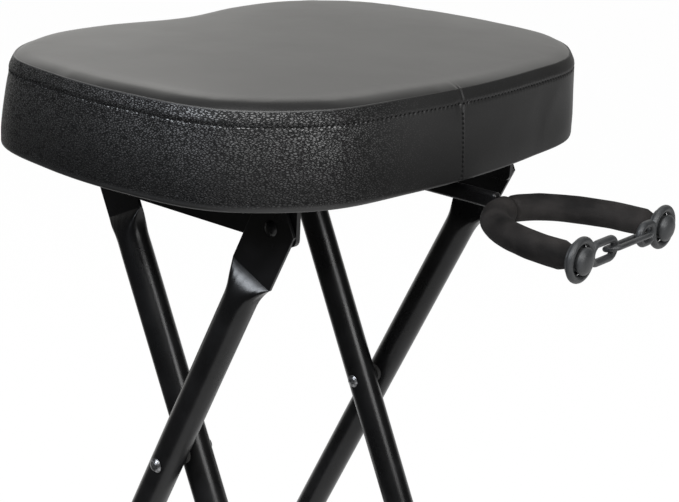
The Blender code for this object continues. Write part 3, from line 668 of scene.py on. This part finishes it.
# %% Lap and unevenness
LAP_RISE = 0.0007
LAP_FADE = 0.007
LAP_FADES = 6
LAP_STITCH = 0.0026
LAP_GROOVE = 0.0005
LAP_GROOVE_HALF = 0.0011
WOBBLES_PER_METRE = 24
WOBBLE = 0.0009


def lap(i):
    """How far the boxing stands out beside its own seam, with a groove under the seam's stitches."""
    beside = STATIONS[i] - SEAM_AT
    if beside > 0 or beside < -LAP_FADE * LAP_FADES:
        return 0.0
    groove = LAP_GROOVE * exp(-((beside + LAP_STITCH) / LAP_GROOVE_HALF) ** 2)
    return LAP_RISE * exp(beside / LAP_FADE) - groove


def wobble(i, z):
    """A slow unevenness of the cover, the same on each run."""
    spot = OUTLINE[i]
    return WOBBLE * abs(noise.noise(Vector((spot.x, spot.y, z)) * WOBBLES_PER_METRE))


def full_above_edge(z, reach):
    """0 at the seat's bottom edge and 1 from reach above it."""
    return min(1.0, max(0.0, (z - SEAT_LOW) / reach))


print("lap stands", round(max(lap(i) for i in range(AROUND)) * 1000, 2), "mm proud")

# %% Sides of the cushion
STITCH_PITCH = 0.0043
STITCHES = round(PERIMETER / STITCH_PITCH)
STITCH_HOLD = 0.6
PUCKER = 0.0010
PUCKER_REACH = 0.0020
LAP_FULL = 0.004
WOBBLE_FULL = 0.010
LEAN_NEAR = 0.0046
LEAN_FAR = 0.0016
FLARE_NEAR = 0.002
DENT = 0.0012
DENT_AT = -0.007
DENT_REACH = 0.003
HALF_WIDTH = max(point.y for point in OUTLINE)


def side_point(i, inset, z, leaning):
    """A point of the boxing: its lean, the pull of the topstitching, the lap and slow unevenness."""
    far = (OUTLINE[i].y + HALF_WIDTH) / (2 * HALF_WIDTH)
    lean = (LEAN_NEAR + (LEAN_FAR - LEAN_NEAR) * far) * leaning
    near_stitch = max(0.0, 1 - abs(z - STITCH_Z) / PUCKER_REACH)
    pull = PUCKER * near_stitch * (0.5 - 0.5 * cos(2 * pi * STITCHES * STATIONS[i] / PERIMETER))
    free = full_above_edge(z, WOBBLE_FULL) * (1 - near_stitch * STITCH_HOLD)
    flare = FLARE_NEAR * (1 - far) ** 2 * (1 - leaning) * (inset < HEM / 2)
    beside = (STATIONS[i] - SEAM_AT - DENT_AT) / DENT_REACH
    dent = DENT * exp(-beside ** 2 - ((z - STITCH_Z) / DENT_REACH) ** 2)
    lapped = lap(i) * full_above_edge(z, LAP_FULL)
    depth = inset + lean + pull + dent + wobble(i, z) * free - lapped - flare
    place = OUTLINE[i] + INWARD[i] * depth
    return Vector((place.x + SCISSOR.x, place.y + SCISSOR.y, z))


side_rings = [[side_point(i, *level) for i in range(AROUND)] for level in profile]
print(len(side_rings), "rings up the side,", STITCHES, "stitches round")

# %% [markdown]
# ## Top panel
# The top is a flat panel of leatherette pulled over foam. A plain formula could crown it, but it would
# rise alike in the corners and at the dip. A triangulated sheet is pinned along its seam instead and blown
# up by Blender's Cloth with a little pressure, which crowns it as foam does; the height is then scaled so
# that the middle stands where the CAD cover's does.

# %% Flat panel
PANEL_STEP = 0.0065
PANEL_ROW = 0.866
PANEL_ROWS = ((0.0008, 2), (0.0020, 2), (0.0040, 3), (0.0065, 3), (0.0090, 4))
PANEL_EDGE = 0.0130
SAME_POINT = 1e-7
WITH_EDGES = 1
seam_ring = side_rings[-1]


def panel_mesh():
    """Triangles inside the seam, on a hexagonal grid of points."""
    rim = [Vector((point.x, point.y)) for point in seam_ring]
    inside = [rim[i] + INWARD[i] * PANEL_EDGE for i in range(AROUND)]
    points = list(rim)
    for inset, skip in PANEL_ROWS:
        points += [rim[i] + INWARD[i] * inset for i in range(0, AROUND, skip)]
    row_step = PANEL_STEP * PANEL_ROW
    rows = ceil((COVER_HIGH.y - COVER_LOW.y) / row_step)
    columns = ceil((COVER_HIGH.x - COVER_LOW.x) / PANEL_STEP)
    for row in range(rows):
        y = COVER_LOW.y + row * row_step
        crossings = []
        for a, b in zip(inside, inside[1:] + inside[:1]):
            if (a.y > y) != (b.y > y):
                crossings.append(a.x + (b.x - a.x) * (y - a.y) / (b.y - a.y))
        for column in range(columns + 1):
            x = COVER_LOW.x + (column + (row % 2) / 2) * PANEL_STEP
            if sum(1 for crossing in crossings if crossing < x) % 2:
                points.append(Vector((x, y)))
    edges = [(i, (i + 1) % AROUND) for i in range(AROUND)]
    flat, _, faces, _, _, _ = delaunay_2d_cdt(points, edges, [], WITH_EDGES, SAME_POINT)
    mesh = bpy.data.meshes.new("top_panel")
    mesh.from_pydata([(point.x, point.y, seam_ring[0].z) for point in flat], [], faces)
    return mesh


panel = panel_mesh()
print(len(panel.vertices), "points on the flat panel")

# %% Blown-up panel
PANEL_FRAMES = 20
PANEL_PRESSURE = 4.0
PANEL_STIFFNESS = 5.0
PANEL_QUALITY = 6


def blown_up(mesh):
    """Heights above the seam after the panel has been blown up, as a share of the highest."""
    sheet = bpy.data.objects.new("top_panel", mesh)
    bpy.context.scene.collection.objects.link(sheet)
    build = bmesh.new()
    build.from_mesh(mesh)
    rim = [vert.index for vert in build.verts if vert.is_boundary]
    build.free()
    sheet.vertex_groups.new(name="seam").add(rim, 1.0, "REPLACE")
    cloth = sheet.modifiers.new("cloth", "CLOTH")
    cloth.settings.vertex_group_mass = "seam"
    cloth.settings.use_pressure = True
    cloth.settings.uniform_pressure_force = PANEL_PRESSURE
    cloth.settings.effector_weights.gravity = 0.0
    cloth.settings.tension_stiffness = PANEL_STIFFNESS
    cloth.settings.compression_stiffness = PANEL_STIFFNESS
    cloth.settings.quality = PANEL_QUALITY
    cloth.point_cache.frame_start = 1
    cloth.point_cache.frame_end = PANEL_FRAMES
    for step in range(1, PANEL_FRAMES + 1):
        bpy.context.scene.frame_set(step)
    result = sheet.evaluated_get(bpy.context.evaluated_depsgraph_get())
    heights = [vert.co.z - seam_ring[0].z for vert in result.data.vertices]
    bpy.context.scene.frame_set(1)
    bpy.data.objects.remove(sheet)
    top = max(abs(height) for height in heights) or 1.0
    return [abs(height) / top for height in heights], top


shares, raw_rise = blown_up(panel)
print("panel blown up", round(raw_rise * 1000, 1), "mm")

# %% [markdown]
# ## Cushion
# The real cover is one sewn skin over a block of foam. Boxing and panel could stay two pieces, but then
# light would show between them, so they are joined along the seam into one skin, and Solidify gives it
# the thickness of the vinyl. It stands for both the CAD cover and the foam inside it.

# %% Cushion
COVER_THICKNESS = 0.0012
ROLL_WIDTH = 0.015
ROLL_SHARE = 0.42
TOP = 0
SIDE = 1
rim_tree = KDTree(AROUND)
for i, point in enumerate(seam_ring):
    rim_tree.insert(point, i)
rim_tree.balance()


def crowned(spot, share):
    """Foam rolls the panel up beside its seam, and the blown-up share crowns the rest."""
    seam_z = seam_ring[0].z
    from_seam = min(1.0, rim_tree.find((spot.x, spot.y, seam_z))[2] / ROLL_WIDTH)
    roll = 1 - (1 - from_seam) ** 2
    return seam_z + (COVER_HIGH.z - seam_z) * (ROLL_SHARE * roll + (1 - ROLL_SHARE) * share)


def make_cushion():
    build = bmesh.new()
    loops = [[build.verts.new(point) for point in ring] for ring in side_rings]
    for low, high in zip(loops, loops[1:]):
        for i in range(AROUND):
            j = (i + 1) % AROUND
            build.faces.new((low[i], low[j], high[j], high[i])).material_index = SIDE
    top = [build.verts.new((vert.co.x, vert.co.y, crowned(vert.co, share)))
           for vert, share in zip(panel.vertices, shares)]
    for face in panel.polygons:
        build.faces.new([top[i] for i in face.vertices]).material_index = TOP
    bmesh.ops.remove_doubles(build, verts=build.verts, dist=WELD_WITHIN)
    bmesh.ops.recalc_face_normals(build, faces=build.faces)
    mesh = bpy.data.meshes.new("seat_cushion")
    build.to_mesh(mesh)
    build.free()
    mesh.shade_smooth()
    cushion = bpy.data.objects.new("seat_cushion", mesh)
    bpy.context.scene.collection.objects.link(cushion)
    mesh.materials.append(top_leather.material)
    mesh.materials.append(side_leather.material)
    skin = cushion.modifiers.new("vinyl", "SOLIDIFY")
    skin.thickness = COVER_THICKNESS
    skin.offset = -1
    return cushion


cushion = make_cushion()
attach(cushion, "seat")
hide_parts("seat_cover", "seat_foam")
print("cushion", len(cushion.data.vertices), "points")

# %% [markdown]
# ## Topstitching
# A row of black thread runs all round, a finger's breadth below the top seam. A bump in the vinyl could
# hint at it, but real beads catch light as thread does. Each stitch is a small bead that bows out of the
# groove and dives back into it.

# %% Thread
THREAD_DARK = (0.0008, 0.0008, 0.0008)
THREAD_PALE = (0.003, 0.003, 0.003)
THREAD_R = 0.00060
BEAD_STEPS = 6
BEAD_SIDES = 6
BEAD_END = 0.08
BEAD_BOW = 1.1
BEAD_SINK = 0.4

thread = Finish("black_thread", roughness=0.8, specular_ior_level=0.15)
ply_twist = thread.noise(1800, detail=1.0)
thread.set("Base Color", thread.shade(ply_twist, THREAD_DARK, THREAD_PALE))


def add_stitch(build, middle, along, out, length):
    """One bead of thread, thin at both ends, bowed outwards."""
    across = along.cross(out)
    rings = []
    for k in range(BEAD_STEPS + 1):
        t = k / BEAD_STEPS
        swell = sin(pi * (BEAD_END + (1 - 2 * BEAD_END) * t)) ** 0.5
        bow = THREAD_R * BEAD_BOW * sin(pi * t) - THREAD_R * BEAD_SINK
        centre = middle + along * (length * (t - 0.5)) + out * bow
        rings.append([centre + (across * cos(a) + out * sin(a)) * THREAD_R * swell
                      for a in (2 * pi * m / BEAD_SIDES for m in range(BEAD_SIDES))])
    loft(build, rings)


print("thread", round(THREAD_R * 2000, 1), "mm across")

# %% Topstitching
STITCH_SHARE = 0.74
SAME_HEIGHT = 0.00001


def at_distance(ring, distance):
    """A point of a closed ring at a distance round the outline, and the direction it runs in there."""
    high = bisect(STATIONS, distance % PERIMETER) % AROUND
    a = ring[high - 1]
    b = ring[high]
    gap = (STATIONS[high] - STATIONS[high - 1]) % PERIMETER
    return a.lerp(b, ((distance - STATIONS[high - 1]) % PERIMETER) / gap), (b - a).normalized()


stitch_ring = next(ring for ring in side_rings if abs(ring[0].z - STITCH_Z) < SAME_HEIGHT)
build = bmesh.new()
for number in range(STITCHES):
    middle, along = at_distance(stitch_ring, PERIMETER * (number + 0.5) / STITCHES)
    outward = Vector((along.y, -along.x, 0)).normalized()
    add_stitch(build, middle, along, outward, STITCH_PITCH * STITCH_SHARE)
finish_piece("topstitching", build, thread, "seat")
print(STITCHES, "stitches")

# %% [markdown]
# ## Boxing seam
# The boxing's lapped ends are held by an upright row of the same thread. The row starts above the seat's
# bottom edge and stops just under the topstitching. It could be a straight line of beads, but
# the side leans, so each bead is set on the side's own points.

# %% Boxing seam
LAP_PITCH = 0.0034
LAP_SHARE = 0.7
ROW_ABOVE_EDGE = 0.003
ROW_BELOW_STITCHES = 0.0025
OUT = Vector((1, 0, 0))
upright_line = [at_distance(ring, SEAM_AT - LAP_STITCH)[0] for ring in side_rings]
upright_line = [spot for spot in upright_line
                if SEAT_LOW + ROW_ABOVE_EDGE < spot.z < STITCH_Z - ROW_BELOW_STITCHES]


def on_upright(z):
    """The point of the upright row at a height."""
    for low, high in zip(upright_line, upright_line[1:]):
        if low.z <= z <= high.z:
            return low.lerp(high, (z - low.z) / (high.z - low.z))
    return upright_line[-1]


build = bmesh.new()
row_low = upright_line[0].z
row_high = upright_line[-1].z
row_count = int((row_high - row_low) / LAP_PITCH)
for number in range(row_count):
    middle = on_upright(row_low + LAP_PITCH * (number + 0.5))
    along = on_upright(middle.z + LAP_PITCH / 2) - on_upright(middle.z - LAP_PITCH / 2)
    add_stitch(build, middle, along.normalized(), OUT, LAP_PITCH * LAP_SHARE)
finish_piece("boxing_stitching", build, thread, "seat")
print(row_count, "upright stitches")

# %% [markdown]
# ## Foam sleeves
# Two lengths of closed-cell foam tube are pushed over the yoke's rod from its two ends. They meet a
# little beyond the middle, where the near one's rounded end bulges over the far one's. A curve with a
# round bevel would be quicker, but its ends stay square and it looks turned on a lathe. Rings along
# the rod's line take rounded ends and small lumps.

# %% Sleeve foam
FOAM_BLACK = (0.0010, 0.0009, 0.0009)
FOAM_BLOOM = (0.0200, 0.0180, 0.0172)
FOAM_PITS = 0.00030
FOAM_STREAK = (1, 1, 5)

foam = Finish("sleeve_foam", specular_ior_level=0.12)
pores = foam.noise(1100, detail=3.0)
bloom = foam.noise(46, detail=4.0)
streak = foam.noise(16, detail=4.0, stretch=FOAM_STREAK)
foam_tone = bloom.step(0.35, 0.7) * 0.45 + streak.step(0.38, 0.66) * 0.35 + pores * 0.2
foam.set("Base Color", foam.shade(foam_tone, FOAM_BLACK, FOAM_BLOOM))
foam.set("Roughness", 0.70 + bloom * 0.2)
foam.set("Normal", foam.bump(pores, FOAM_PITS))
print("sleeve foam ready")

# %% Line of the yoke
BEND_END_X = SCISSOR.x + 0.285
BEND_STEPS = 200
SLEEVE_LOW, SLEEVE_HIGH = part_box("yoke_foam_near")
FOAM_R = (SLEEVE_HIGH.z - SLEEVE_LOW.z) / 2
YOKE_Z = (SLEEVE_HIGH.z + SLEEVE_LOW.z) / 2
YOKE_HALF = -SLEEVE_LOW.y - FOAM_R
YOKE_BACK = SLEEVE_LOW.x + FOAM_R
ARM_END = SLEEVE_HIGH.x
SLEEVE_STEP = 0.0016


def yoke_line():
    """Points along the whole yoke, from the near arm's end round the bend to the far arm's end."""
    fine = []
    for side in (-1, 1):
        bend = []
        for k in range(BEND_STEPS + 1):
            angle = pi / 2 * k / BEND_STEPS
            bend.append(Vector((BEND_END_X - (BEND_END_X - YOKE_BACK) * cos(angle),
                                side * YOKE_HALF * sin(angle), YOKE_Z)))
        bend.append(Vector((ARM_END, side * YOKE_HALF, YOKE_Z)))
        fine += reversed(bend) if side < 0 else bend[1:]
    even = [fine[0]]
    for spot in fine:
        if (spot - even[-1]).length >= SLEEVE_STEP:
            even.append(spot)
    return even


whole = yoke_line()
print(len(whole), "points along the yoke")

# %% Foam sleeves
BORE_R = 0.0053
SLEEVE_SIDES = 40
SLEEVE_SHARP = 70
JOINT_Y = 0.006
END_ROUND = 0.0035
SWELL_NEAR = 0.0004
SWELL_FAR = -0.0007
SWELL_REACH = 0.012
LUMP_ROOM = 0.0005
LUMP = 0.0004
LUMPS_ALONG = 70
LUMPS_AROUND = 1.3


def sleeve_rings(line, swell):
    """Rings round a line: the outside, rounded at both ends, and back along the bore."""
    count = len(line)
    turn = [2 * pi * m / SLEEVE_SIDES for m in range(SLEEVE_SIDES)]
    outside = []
    inside = []
    for k, spot in enumerate(line):
        run = (line[min(k + 1, count - 1)] - line[max(k - 1, 0)]).normalized()
        across = Vector((-run.y, run.x, 0))
        from_end = min((spot - line[0]).length, (spot - line[-1]).length)
        rounding = max(0.0, 1 - from_end / END_ROUND)
        rounded = END_ROUND * (1 - (1 - rounding ** 2) ** 0.5)
        radius = FOAM_R - LUMP_ROOM + swell * exp(-from_end / SWELL_REACH) - rounded
        circle = [across * cos(a) + Vector((0, 0, sin(a))) for a in turn]
        lumps = [LUMP * noise.noise(spot * LUMPS_ALONG + way * LUMPS_AROUND) for way in circle]
        outside.append([spot + way * (radius + lump) for way, lump in zip(circle, lumps)])
        inside.append([spot + way * BORE_R for way in circle])
    return outside + inside[::-1]


def make_sleeve(label, line, swell):
    build = bmesh.new()
    loft(build, sleeve_rings(line, swell), closed=True)
    sleeve = finish_piece(f"foam_sleeve_{label}", build, foam, "seat", SLEEVE_SHARP)
    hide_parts(f"yoke_foam_{label}")


middle_x = (YOKE_BACK + BEND_END_X) / 2
joint = next(k for k, spot in enumerate(whole) if spot.y > JOINT_Y and spot.x < middle_x)
make_sleeve("near", whole[:joint], SWELL_NEAR)
make_sleeve("far", whole[joint:], SWELL_FAR)
print("sleeves", round(FOAM_R * 2000, 1), "mm across")

# %% [markdown]
# ## End caps and strap
# Each end cap of the yoke is one profile turned about the rod: a flange, a neck for the strap's ring and
# a low full head. Rings, their eyes and the link are round wire along a circle or an oblong; each ring
# and its eye are moulded in one piece. A Screw modifier and bevelled curves could make them, but the
# loft is at hand and gives closed meshes at once.

# %% End caps
KNOB_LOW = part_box("yoke_knob_near")[0]
RING_LOW, RING_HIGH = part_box("strap_ring_near")
WIRE_R = (RING_HIGH.x - RING_LOW.x) / 2
RING_X = (RING_HIGH.x + RING_LOW.x) / 2
RING_ROOM = 0.0003
FLANGE_R = 0.0125
FLANGE = 0.0015
FLANGE_EDGE_IN = 0.0003
FLANGE_EDGE_UP = 0.0004
NECK_R = 0.008
HEAD_R = 0.0096
HEAD_RISE = 0.0048
HEAD_FULLNESS = 2.2
HEAD_STEPS = 12
POLE_R = 0.00005
KNOB_SIDES = 48
KNOB_SHARP = 40


def knob_profile():
    """Radius and distance from the foam: flange, neck and a low full head."""
    neck_end = RING_HIGH.x + RING_ROOM - KNOB_LOW.x
    profile = [(0.0, 0.0), (FLANGE_R - FLANGE_EDGE_IN, 0.0), (FLANGE_R, FLANGE_EDGE_UP),
               (FLANGE_R, FLANGE - FLANGE_EDGE_UP), (FLANGE_R - FLANGE_EDGE_IN, FLANGE),
               (NECK_R, FLANGE), (NECK_R, neck_end)]
    for k in range(HEAD_STEPS + 1):
        angle = pi / 2 * k / HEAD_STEPS
        radius = HEAD_R * max(0.0, cos(angle)) ** (2 / HEAD_FULLNESS)
        profile.append((radius, neck_end + HEAD_RISE * sin(angle) ** (2 / HEAD_FULLNESS)))
    return profile


def make_knob(label, side):
    build = bmesh.new()
    rings = []
    for radius, reach in knob_profile():
        radius = max(radius, POLE_R)
        rings.append([Vector((KNOB_LOW.x + reach, side * YOKE_HALF + radius * cos(2 * pi * m / KNOB_SIDES),
                              YOKE_Z + radius * sin(2 * pi * m / KNOB_SIDES))) for m in range(KNOB_SIDES)])
    loft(build, rings)
    knob = finish_piece(f"end_cap_{label}", build, plastic, "seat", KNOB_SHARP)
    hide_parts(f"yoke_knob_{label}")


make_knob("near", -1)
make_knob("far", 1)
print("2 end caps of", KNOB_SIDES, "sides")

# %% Wire
WIRE_SIDES = 20
WIRE_STEP = 0.001
ARC_STEPS = 24


def oblong(half_length, half_width, half_height):
    """An oblong's middle line, its round ends squeezed to the height."""
    straight = half_length - half_width
    right = []
    for k in range(ARC_STEPS + 1):
        angle = pi * k / ARC_STEPS - pi / 2
        right.append((straight + half_width * cos(angle), half_height * sin(angle)))
    line = right + [(-u, -v) for u, v in right]
    spots = []
    for a, b in zip(line, line[1:] + line[:1]):
        gap = Vector(b) - Vector(a)
        pieces = max(1, round(gap.length / WIRE_STEP))
        spots += [Vector(a) + gap * (k / pieces) for k in range(pieces)]
    return spots


def sweep(build, line, radius, square):
    """Round wire along a closed flat line; square stands square to the line's plane."""
    count = len(line)
    rings = []
    for k, spot in enumerate(line):
        across = (line[(k + 1) % count] - line[k - 1]).cross(square).normalized()
        rings.append([spot + (across * cos(a) + square * sin(a)) * radius
                      for a in (2 * pi * m / WIRE_SIDES for m in range(WIRE_SIDES))])
    loft(build, rings, closed=True)


print("wire of", WIRE_SIDES, "sides")

# %% Strap
RING_R = 0.0132
EYE_HALF = 0.0066
EYE_REACH = {"near": 0.045, "far": 0.034}
LINK_LOW, LINK_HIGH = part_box("strap_link")
LINK_R = 0.0019
LINK_HALF = 0.0054
LINK_TILT = radians(18)
WIRE_SHARP = 60


def make_ring(label, side, body):
    build = bmesh.new()
    turn = [2 * pi * k / (4 * ARC_STEPS) for k in range(4 * ARC_STEPS)]
    hoop = [Vector((RING_X, side * YOKE_HALF + RING_R * cos(a), YOKE_Z + RING_R * sin(a))) for a in turn]
    sweep(build, hoop, WIRE_R, OUT)
    far_end = EYE_REACH[label] - WIRE_R
    half_length = (far_end - RING_R) / 2
    centre = side * (YOKE_HALF - RING_R - half_length)
    eye = oblong(half_length, min(EYE_HALF, half_length), EYE_HALF)
    sweep(build, [Vector((RING_X, centre + u, YOKE_Z + v)) for u, v in eye], WIRE_R, OUT)
    ring = finish_piece(f"moulded_ring_{label}", build, plastic, body, WIRE_SHARP)
    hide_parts(f"strap_ring_{label}")


def make_link():
    middle = (LINK_LOW + LINK_HIGH) / 2
    half_length = (LINK_HIGH.y - LINK_LOW.y) / 2 - LINK_R
    tilted = Vector((cos(LINK_TILT), 0, sin(LINK_TILT)))
    square = Vector((-sin(LINK_TILT), 0, cos(LINK_TILT)))
    line = oblong(half_length, LINK_HALF, LINK_HALF)
    build = bmesh.new()
    sweep(build, [middle + Vector((0, u, 0)) + tilted * v for u, v in line], LINK_R, square)
    link = finish_piece("moulded_link", build, plastic, "strap", WIRE_SHARP)
    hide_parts("strap_link")


make_ring("near", -1, "seat")
make_ring("far", 1, "strap")
make_link()
print("2 rings and a link of", round(WIRE_R * 2000, 1), "and", round(LINK_R * 2000, 1), "mm wire")

# %% [markdown]
# ## Lining
# Under the board a black non-woven cloth closes the seat. It is stretched flat, so a simulation would
# change nothing: a thin panel is cut to the inside of the cover's hem. Its fibres run both ways, which
# two drawn-out noises give when they are added.

# %% Lining
LINING_LOW, LINING_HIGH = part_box("dust_cover")
LINING_INSET = HEM + 0.0003
LINING_POINTS = 120
LINING_DARK = (0.008, 0.008, 0.008)
LINING_PALE = (0.030, 0.030, 0.031)
FIBRE_DEPTH = 0.00015
FIBRES_PER_METRE = 900
FIBRE_LENGTHWISE = (1, 0.25, 1)
FIBRE_CROSSWISE = (0.25, 1, 1)

lining_finish = Finish("lining_cloth", specular_ior_level=0.2)
lengthwise = lining_finish.noise(FIBRES_PER_METRE, detail=2.0, stretch=FIBRE_LENGTHWISE)
crosswise = lining_finish.noise(FIBRES_PER_METRE, detail=2.0, stretch=FIBRE_CROSSWISE)
fibre = lengthwise + crosswise
lining_finish.set("Base Color", lining_finish.shade(fibre.step(0.7, 1.3), LINING_DARK, LINING_PALE))
lining_finish.set("Roughness", 0.85 + fibre * 0.05)
lining_finish.set("Normal", lining_finish.bump(fibre, FIBRE_DEPTH))


def lining_ring(z):
    """A ring of even points inside the hem."""
    ring = []
    for number in range(LINING_POINTS):
        i = bisect(STATIONS, PERIMETER * number / LINING_POINTS) % AROUND
        spot = OUTLINE[i] + INWARD[i] * LINING_INSET
        ring.append(Vector((spot.x + SCISSOR.x, spot.y + SCISSOR.y, z)))
    return ring


ring = lining_ring(LINING_LOW.z)
build = bmesh.new()
loft(build, [ring, lining_ring(LINING_HIGH.z)])
lining = finish_piece("lining_cloth", build, lining_finish, "seat")
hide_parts("dust_cover")

# %% [markdown]
# ## Staples
# A row of steel staples holds the cover's hem to the board. Only their backs show, so each is a small
# flat bar with broken edges. An array along a curve could place them; a loop over the outline puts all
# of them in one mesh.

# %% Staples
STAPLES = 52
STAPLE_LENGTH = 0.009
STAPLE_WIRE = 0.0006
STAPLE_INSET = HEM - 0.005
STAPLE_SIZE = Matrix.Diagonal((STAPLE_LENGTH, STAPLE_WIRE * 2, STAPLE_WIRE, 1))
build = bmesh.new()
for number in range(STAPLES):
    i = bisect(STATIONS, PERIMETER * number / STAPLES) % AROUND
    run = (OUTLINE[(i + 1) % AROUND] - OUTLINE[i - 1]).normalized()
    spot = OUTLINE[i] + INWARD[i] * STAPLE_INSET
    place = Matrix.Translation((spot.x + SCISSOR.x, spot.y + SCISSOR.y, SEAT_LOW - STAPLE_WIRE / 2))
    turn = Matrix.Rotation(atan2(run.y, run.x), 4, "Z")
    bmesh.ops.create_cube(build, size=1, matrix=place @ turn @ STAPLE_SIZE)
bmesh.ops.bevel(build, geom=build.edges, offset=STAPLE_WIRE / 4, segments=1, affect="EDGES")
finish_piece("lining_staples", build, steel, "seat")
print(STAPLES, "staples")

# %% [markdown]
# ## Paper floor
# The stool stands on a sheet of white paper that runs far behind it and a few metres in front. To the
# left it ends close by, which turns the tubes dark on that side. A bright lamp on the paper would light
# the stool too, so the paper glows only for the rays of the camera, of gloss and of glass, almost at
# full white. The share of matt paper that is left keeps the stool's soft shadow.

# %% Paper floor
TOWARDS_BACK = Vector((-sin(CAMERA_AZIMUTH), cos(CAMERA_AZIMUTH), 0))
TOWARDS_RIGHT = Vector((cos(CAMERA_AZIMUTH), sin(CAMERA_AZIMUTH), 0))
PAPER_FRONT = -3.5
PAPER_TURN = -0.5
PAPER_BACK = 14.0
PAPER_LEFT = -0.2
PAPER_LEFT_BACK = -5.0
PAPER_RIGHT = 5.0
PAPER_GREY = (0.6, 0.6, 0.6)
PAPER_GLOW = 0.97
GLOW_STRENGTH = 1.015
WHITE = (1, 1, 1)


def seen_rays(nodes):
    """1 for the rays of the camera, of gloss and of glass, 0 for the others."""
    paths = [nodes.node("LightPath", {}, {}, out=name)
             for name in ("Is Camera Ray", "Is Glossy Ray", "Is Transmission Ray")]
    return (paths[0] + paths[1] + paths[2]).least(1.0)


paper = Finish("white_paper", roughness=0.9, base_color=PAPER_GREY)
glow = paper.node("Emission", {}, {"Color": WHITE, "Strength": GLOW_STRENGTH})
matt = Value(paper, paper.shader.outputs[0])
mixed = paper.node("MixShader", {}, {0: seen_rays(paper) * PAPER_GLOW, 1: matt, 2: glow})
paper.plug(paper.tree.nodes["Material Output"].inputs["Surface"], mixed)

corners = [(PAPER_LEFT, PAPER_FRONT), (PAPER_RIGHT, PAPER_FRONT), (PAPER_RIGHT, PAPER_BACK),
           (PAPER_LEFT_BACK, PAPER_BACK), (PAPER_LEFT, PAPER_TURN)]
spots = [TOWARDS_RIGHT * across + TOWARDS_BACK * back for across, back in corners]
floor_mesh = bpy.data.meshes.new("floor")
floor_mesh.from_pydata(spots, [], [range(len(spots))])
floor_mesh.materials.append(paper.material)
floor = bpy.data.objects.new("floor", floor_mesh)
bpy.context.scene.collection.objects.link(floor)
print("paper", PAPER_BACK - PAPER_FRONT, "m long")

# %% [markdown]
# ## Room
# Black things are drawn by what they mirror. The room is dim but for a white wall behind the stool,
# brighter higher up and to the left, which is what the seat's top mirrors. A real wall could stand
# there, but the world's own background gives it with a few sums and casts no shadow. To the
# camera itself the whole background is white.

# %% Room
ROOM_LIGHT = 0.075
SEEN_WHITE = 0.997
WALL_LIGHT = 0.58
WALL_EDGE = (0.50, 0.80)
WALL_TOP = (0.58, 0.88)
WALL_UPPER = (0.33, 0.48)
WALL_LEFT = (0.02, 0.20)
WALL_LEFT_GAIN = 0.45
WARM_WHITE = (1, 0.99, 0.96)

world = bpy.data.worlds.new("studio")
bpy.context.scene.world = world
world.use_nodes = True
room = Nodes(world.node_tree)
sky = world.node_tree.nodes["Background"]
looking = room.node("TexCoord", {}, {}, out="Generated")


def looking_towards(way):
    """How far a ray goes towards a direction: 1 along it, 0 across it."""
    return room.node("VectorMath", {"operation": "DOT_PRODUCT"}, {0: looking, 1: way}, out="Value")


up = room.node("SeparateXYZ", {}, {0: looking}, out="Z")
leftwards = looking_towards(-TOWARDS_RIGHT).step(*WALL_LEFT)
wall = (WALL_LIGHT + up.step(*WALL_UPPER)) * (1 + WALL_LEFT_GAIN * leftwards)
backdrop = looking_towards(TOWARDS_BACK).step(*WALL_EDGE) * (1 - up.step(*WALL_TOP)) * wall
camera_ray = room.node("LightPath", {}, {}, out="Is Camera Ray")
lit = ROOM_LIGHT + (1 - ROOM_LIGHT) * backdrop * (1 - camera_ray)
room.plug(sky.inputs["Strength"], (SEEN_WHITE * camera_ray).most(lit))
warm = room.node("Mix", {"data_type": "RGBA"}, {0: camera_ray, 6: WARM_WHITE, 7: WHITE}, out=2)
room.plug(sky.inputs["Color"], warm)
print("room light", ROOM_LIGHT, "and a white wall behind")

# %% [markdown]
# ## Lamps
# A large soft box above and in front gives the plain light. A wide one by the camera brings out the
# grain and draws broad lines on the tubes, and two smaller ones, left and right, draw the finer lines;
# the left one is a little cool. Point lamps would be simpler, but gloss shows a lamp's shape, and
# only a box looks like a studio's.

# %% Lamps
SEAT_AIM = (0, 0, 0.6)
LEG_AIM = (0, 0, 0.5)
COOL_WHITE = (0.88, 0.93, 1.0)


def soft_box(name, place, aim, width, height, power, tint=WHITE):
    """An area lamp at a place, turned towards a point."""
    lamp = bpy.data.lights.new(name, "AREA")
    lamp.shape = "RECTANGLE"
    lamp.size = width
    lamp.size_y = height
    lamp.energy = power
    lamp.color = tint
    holder = bpy.data.objects.new(name, lamp)
    holder.location = place
    holder.rotation_euler = (Vector(aim) - Vector(place)).to_track_quat("-Z", "Y").to_euler()
    bpy.context.scene.collection.objects.link(holder)


soft_box("overhead", (0.55, -0.65, 2.6), SEAT_AIM, width=2.2, height=2.2, power=40)
soft_box("fill", (1.0, -1.2, 1.75), SEAT_AIM, width=1.2, height=0.6, power=24)
soft_box("left_strip", (-0.3, -1.75, 1.7), SEAT_AIM, width=0.7, height=0.6, power=36, tint=COOL_WHITE)
soft_box("right_strip", (1.8, -0.25, 1.28), LEG_AIM, width=0.8, height=0.8, power=20)
print("4 soft boxes")
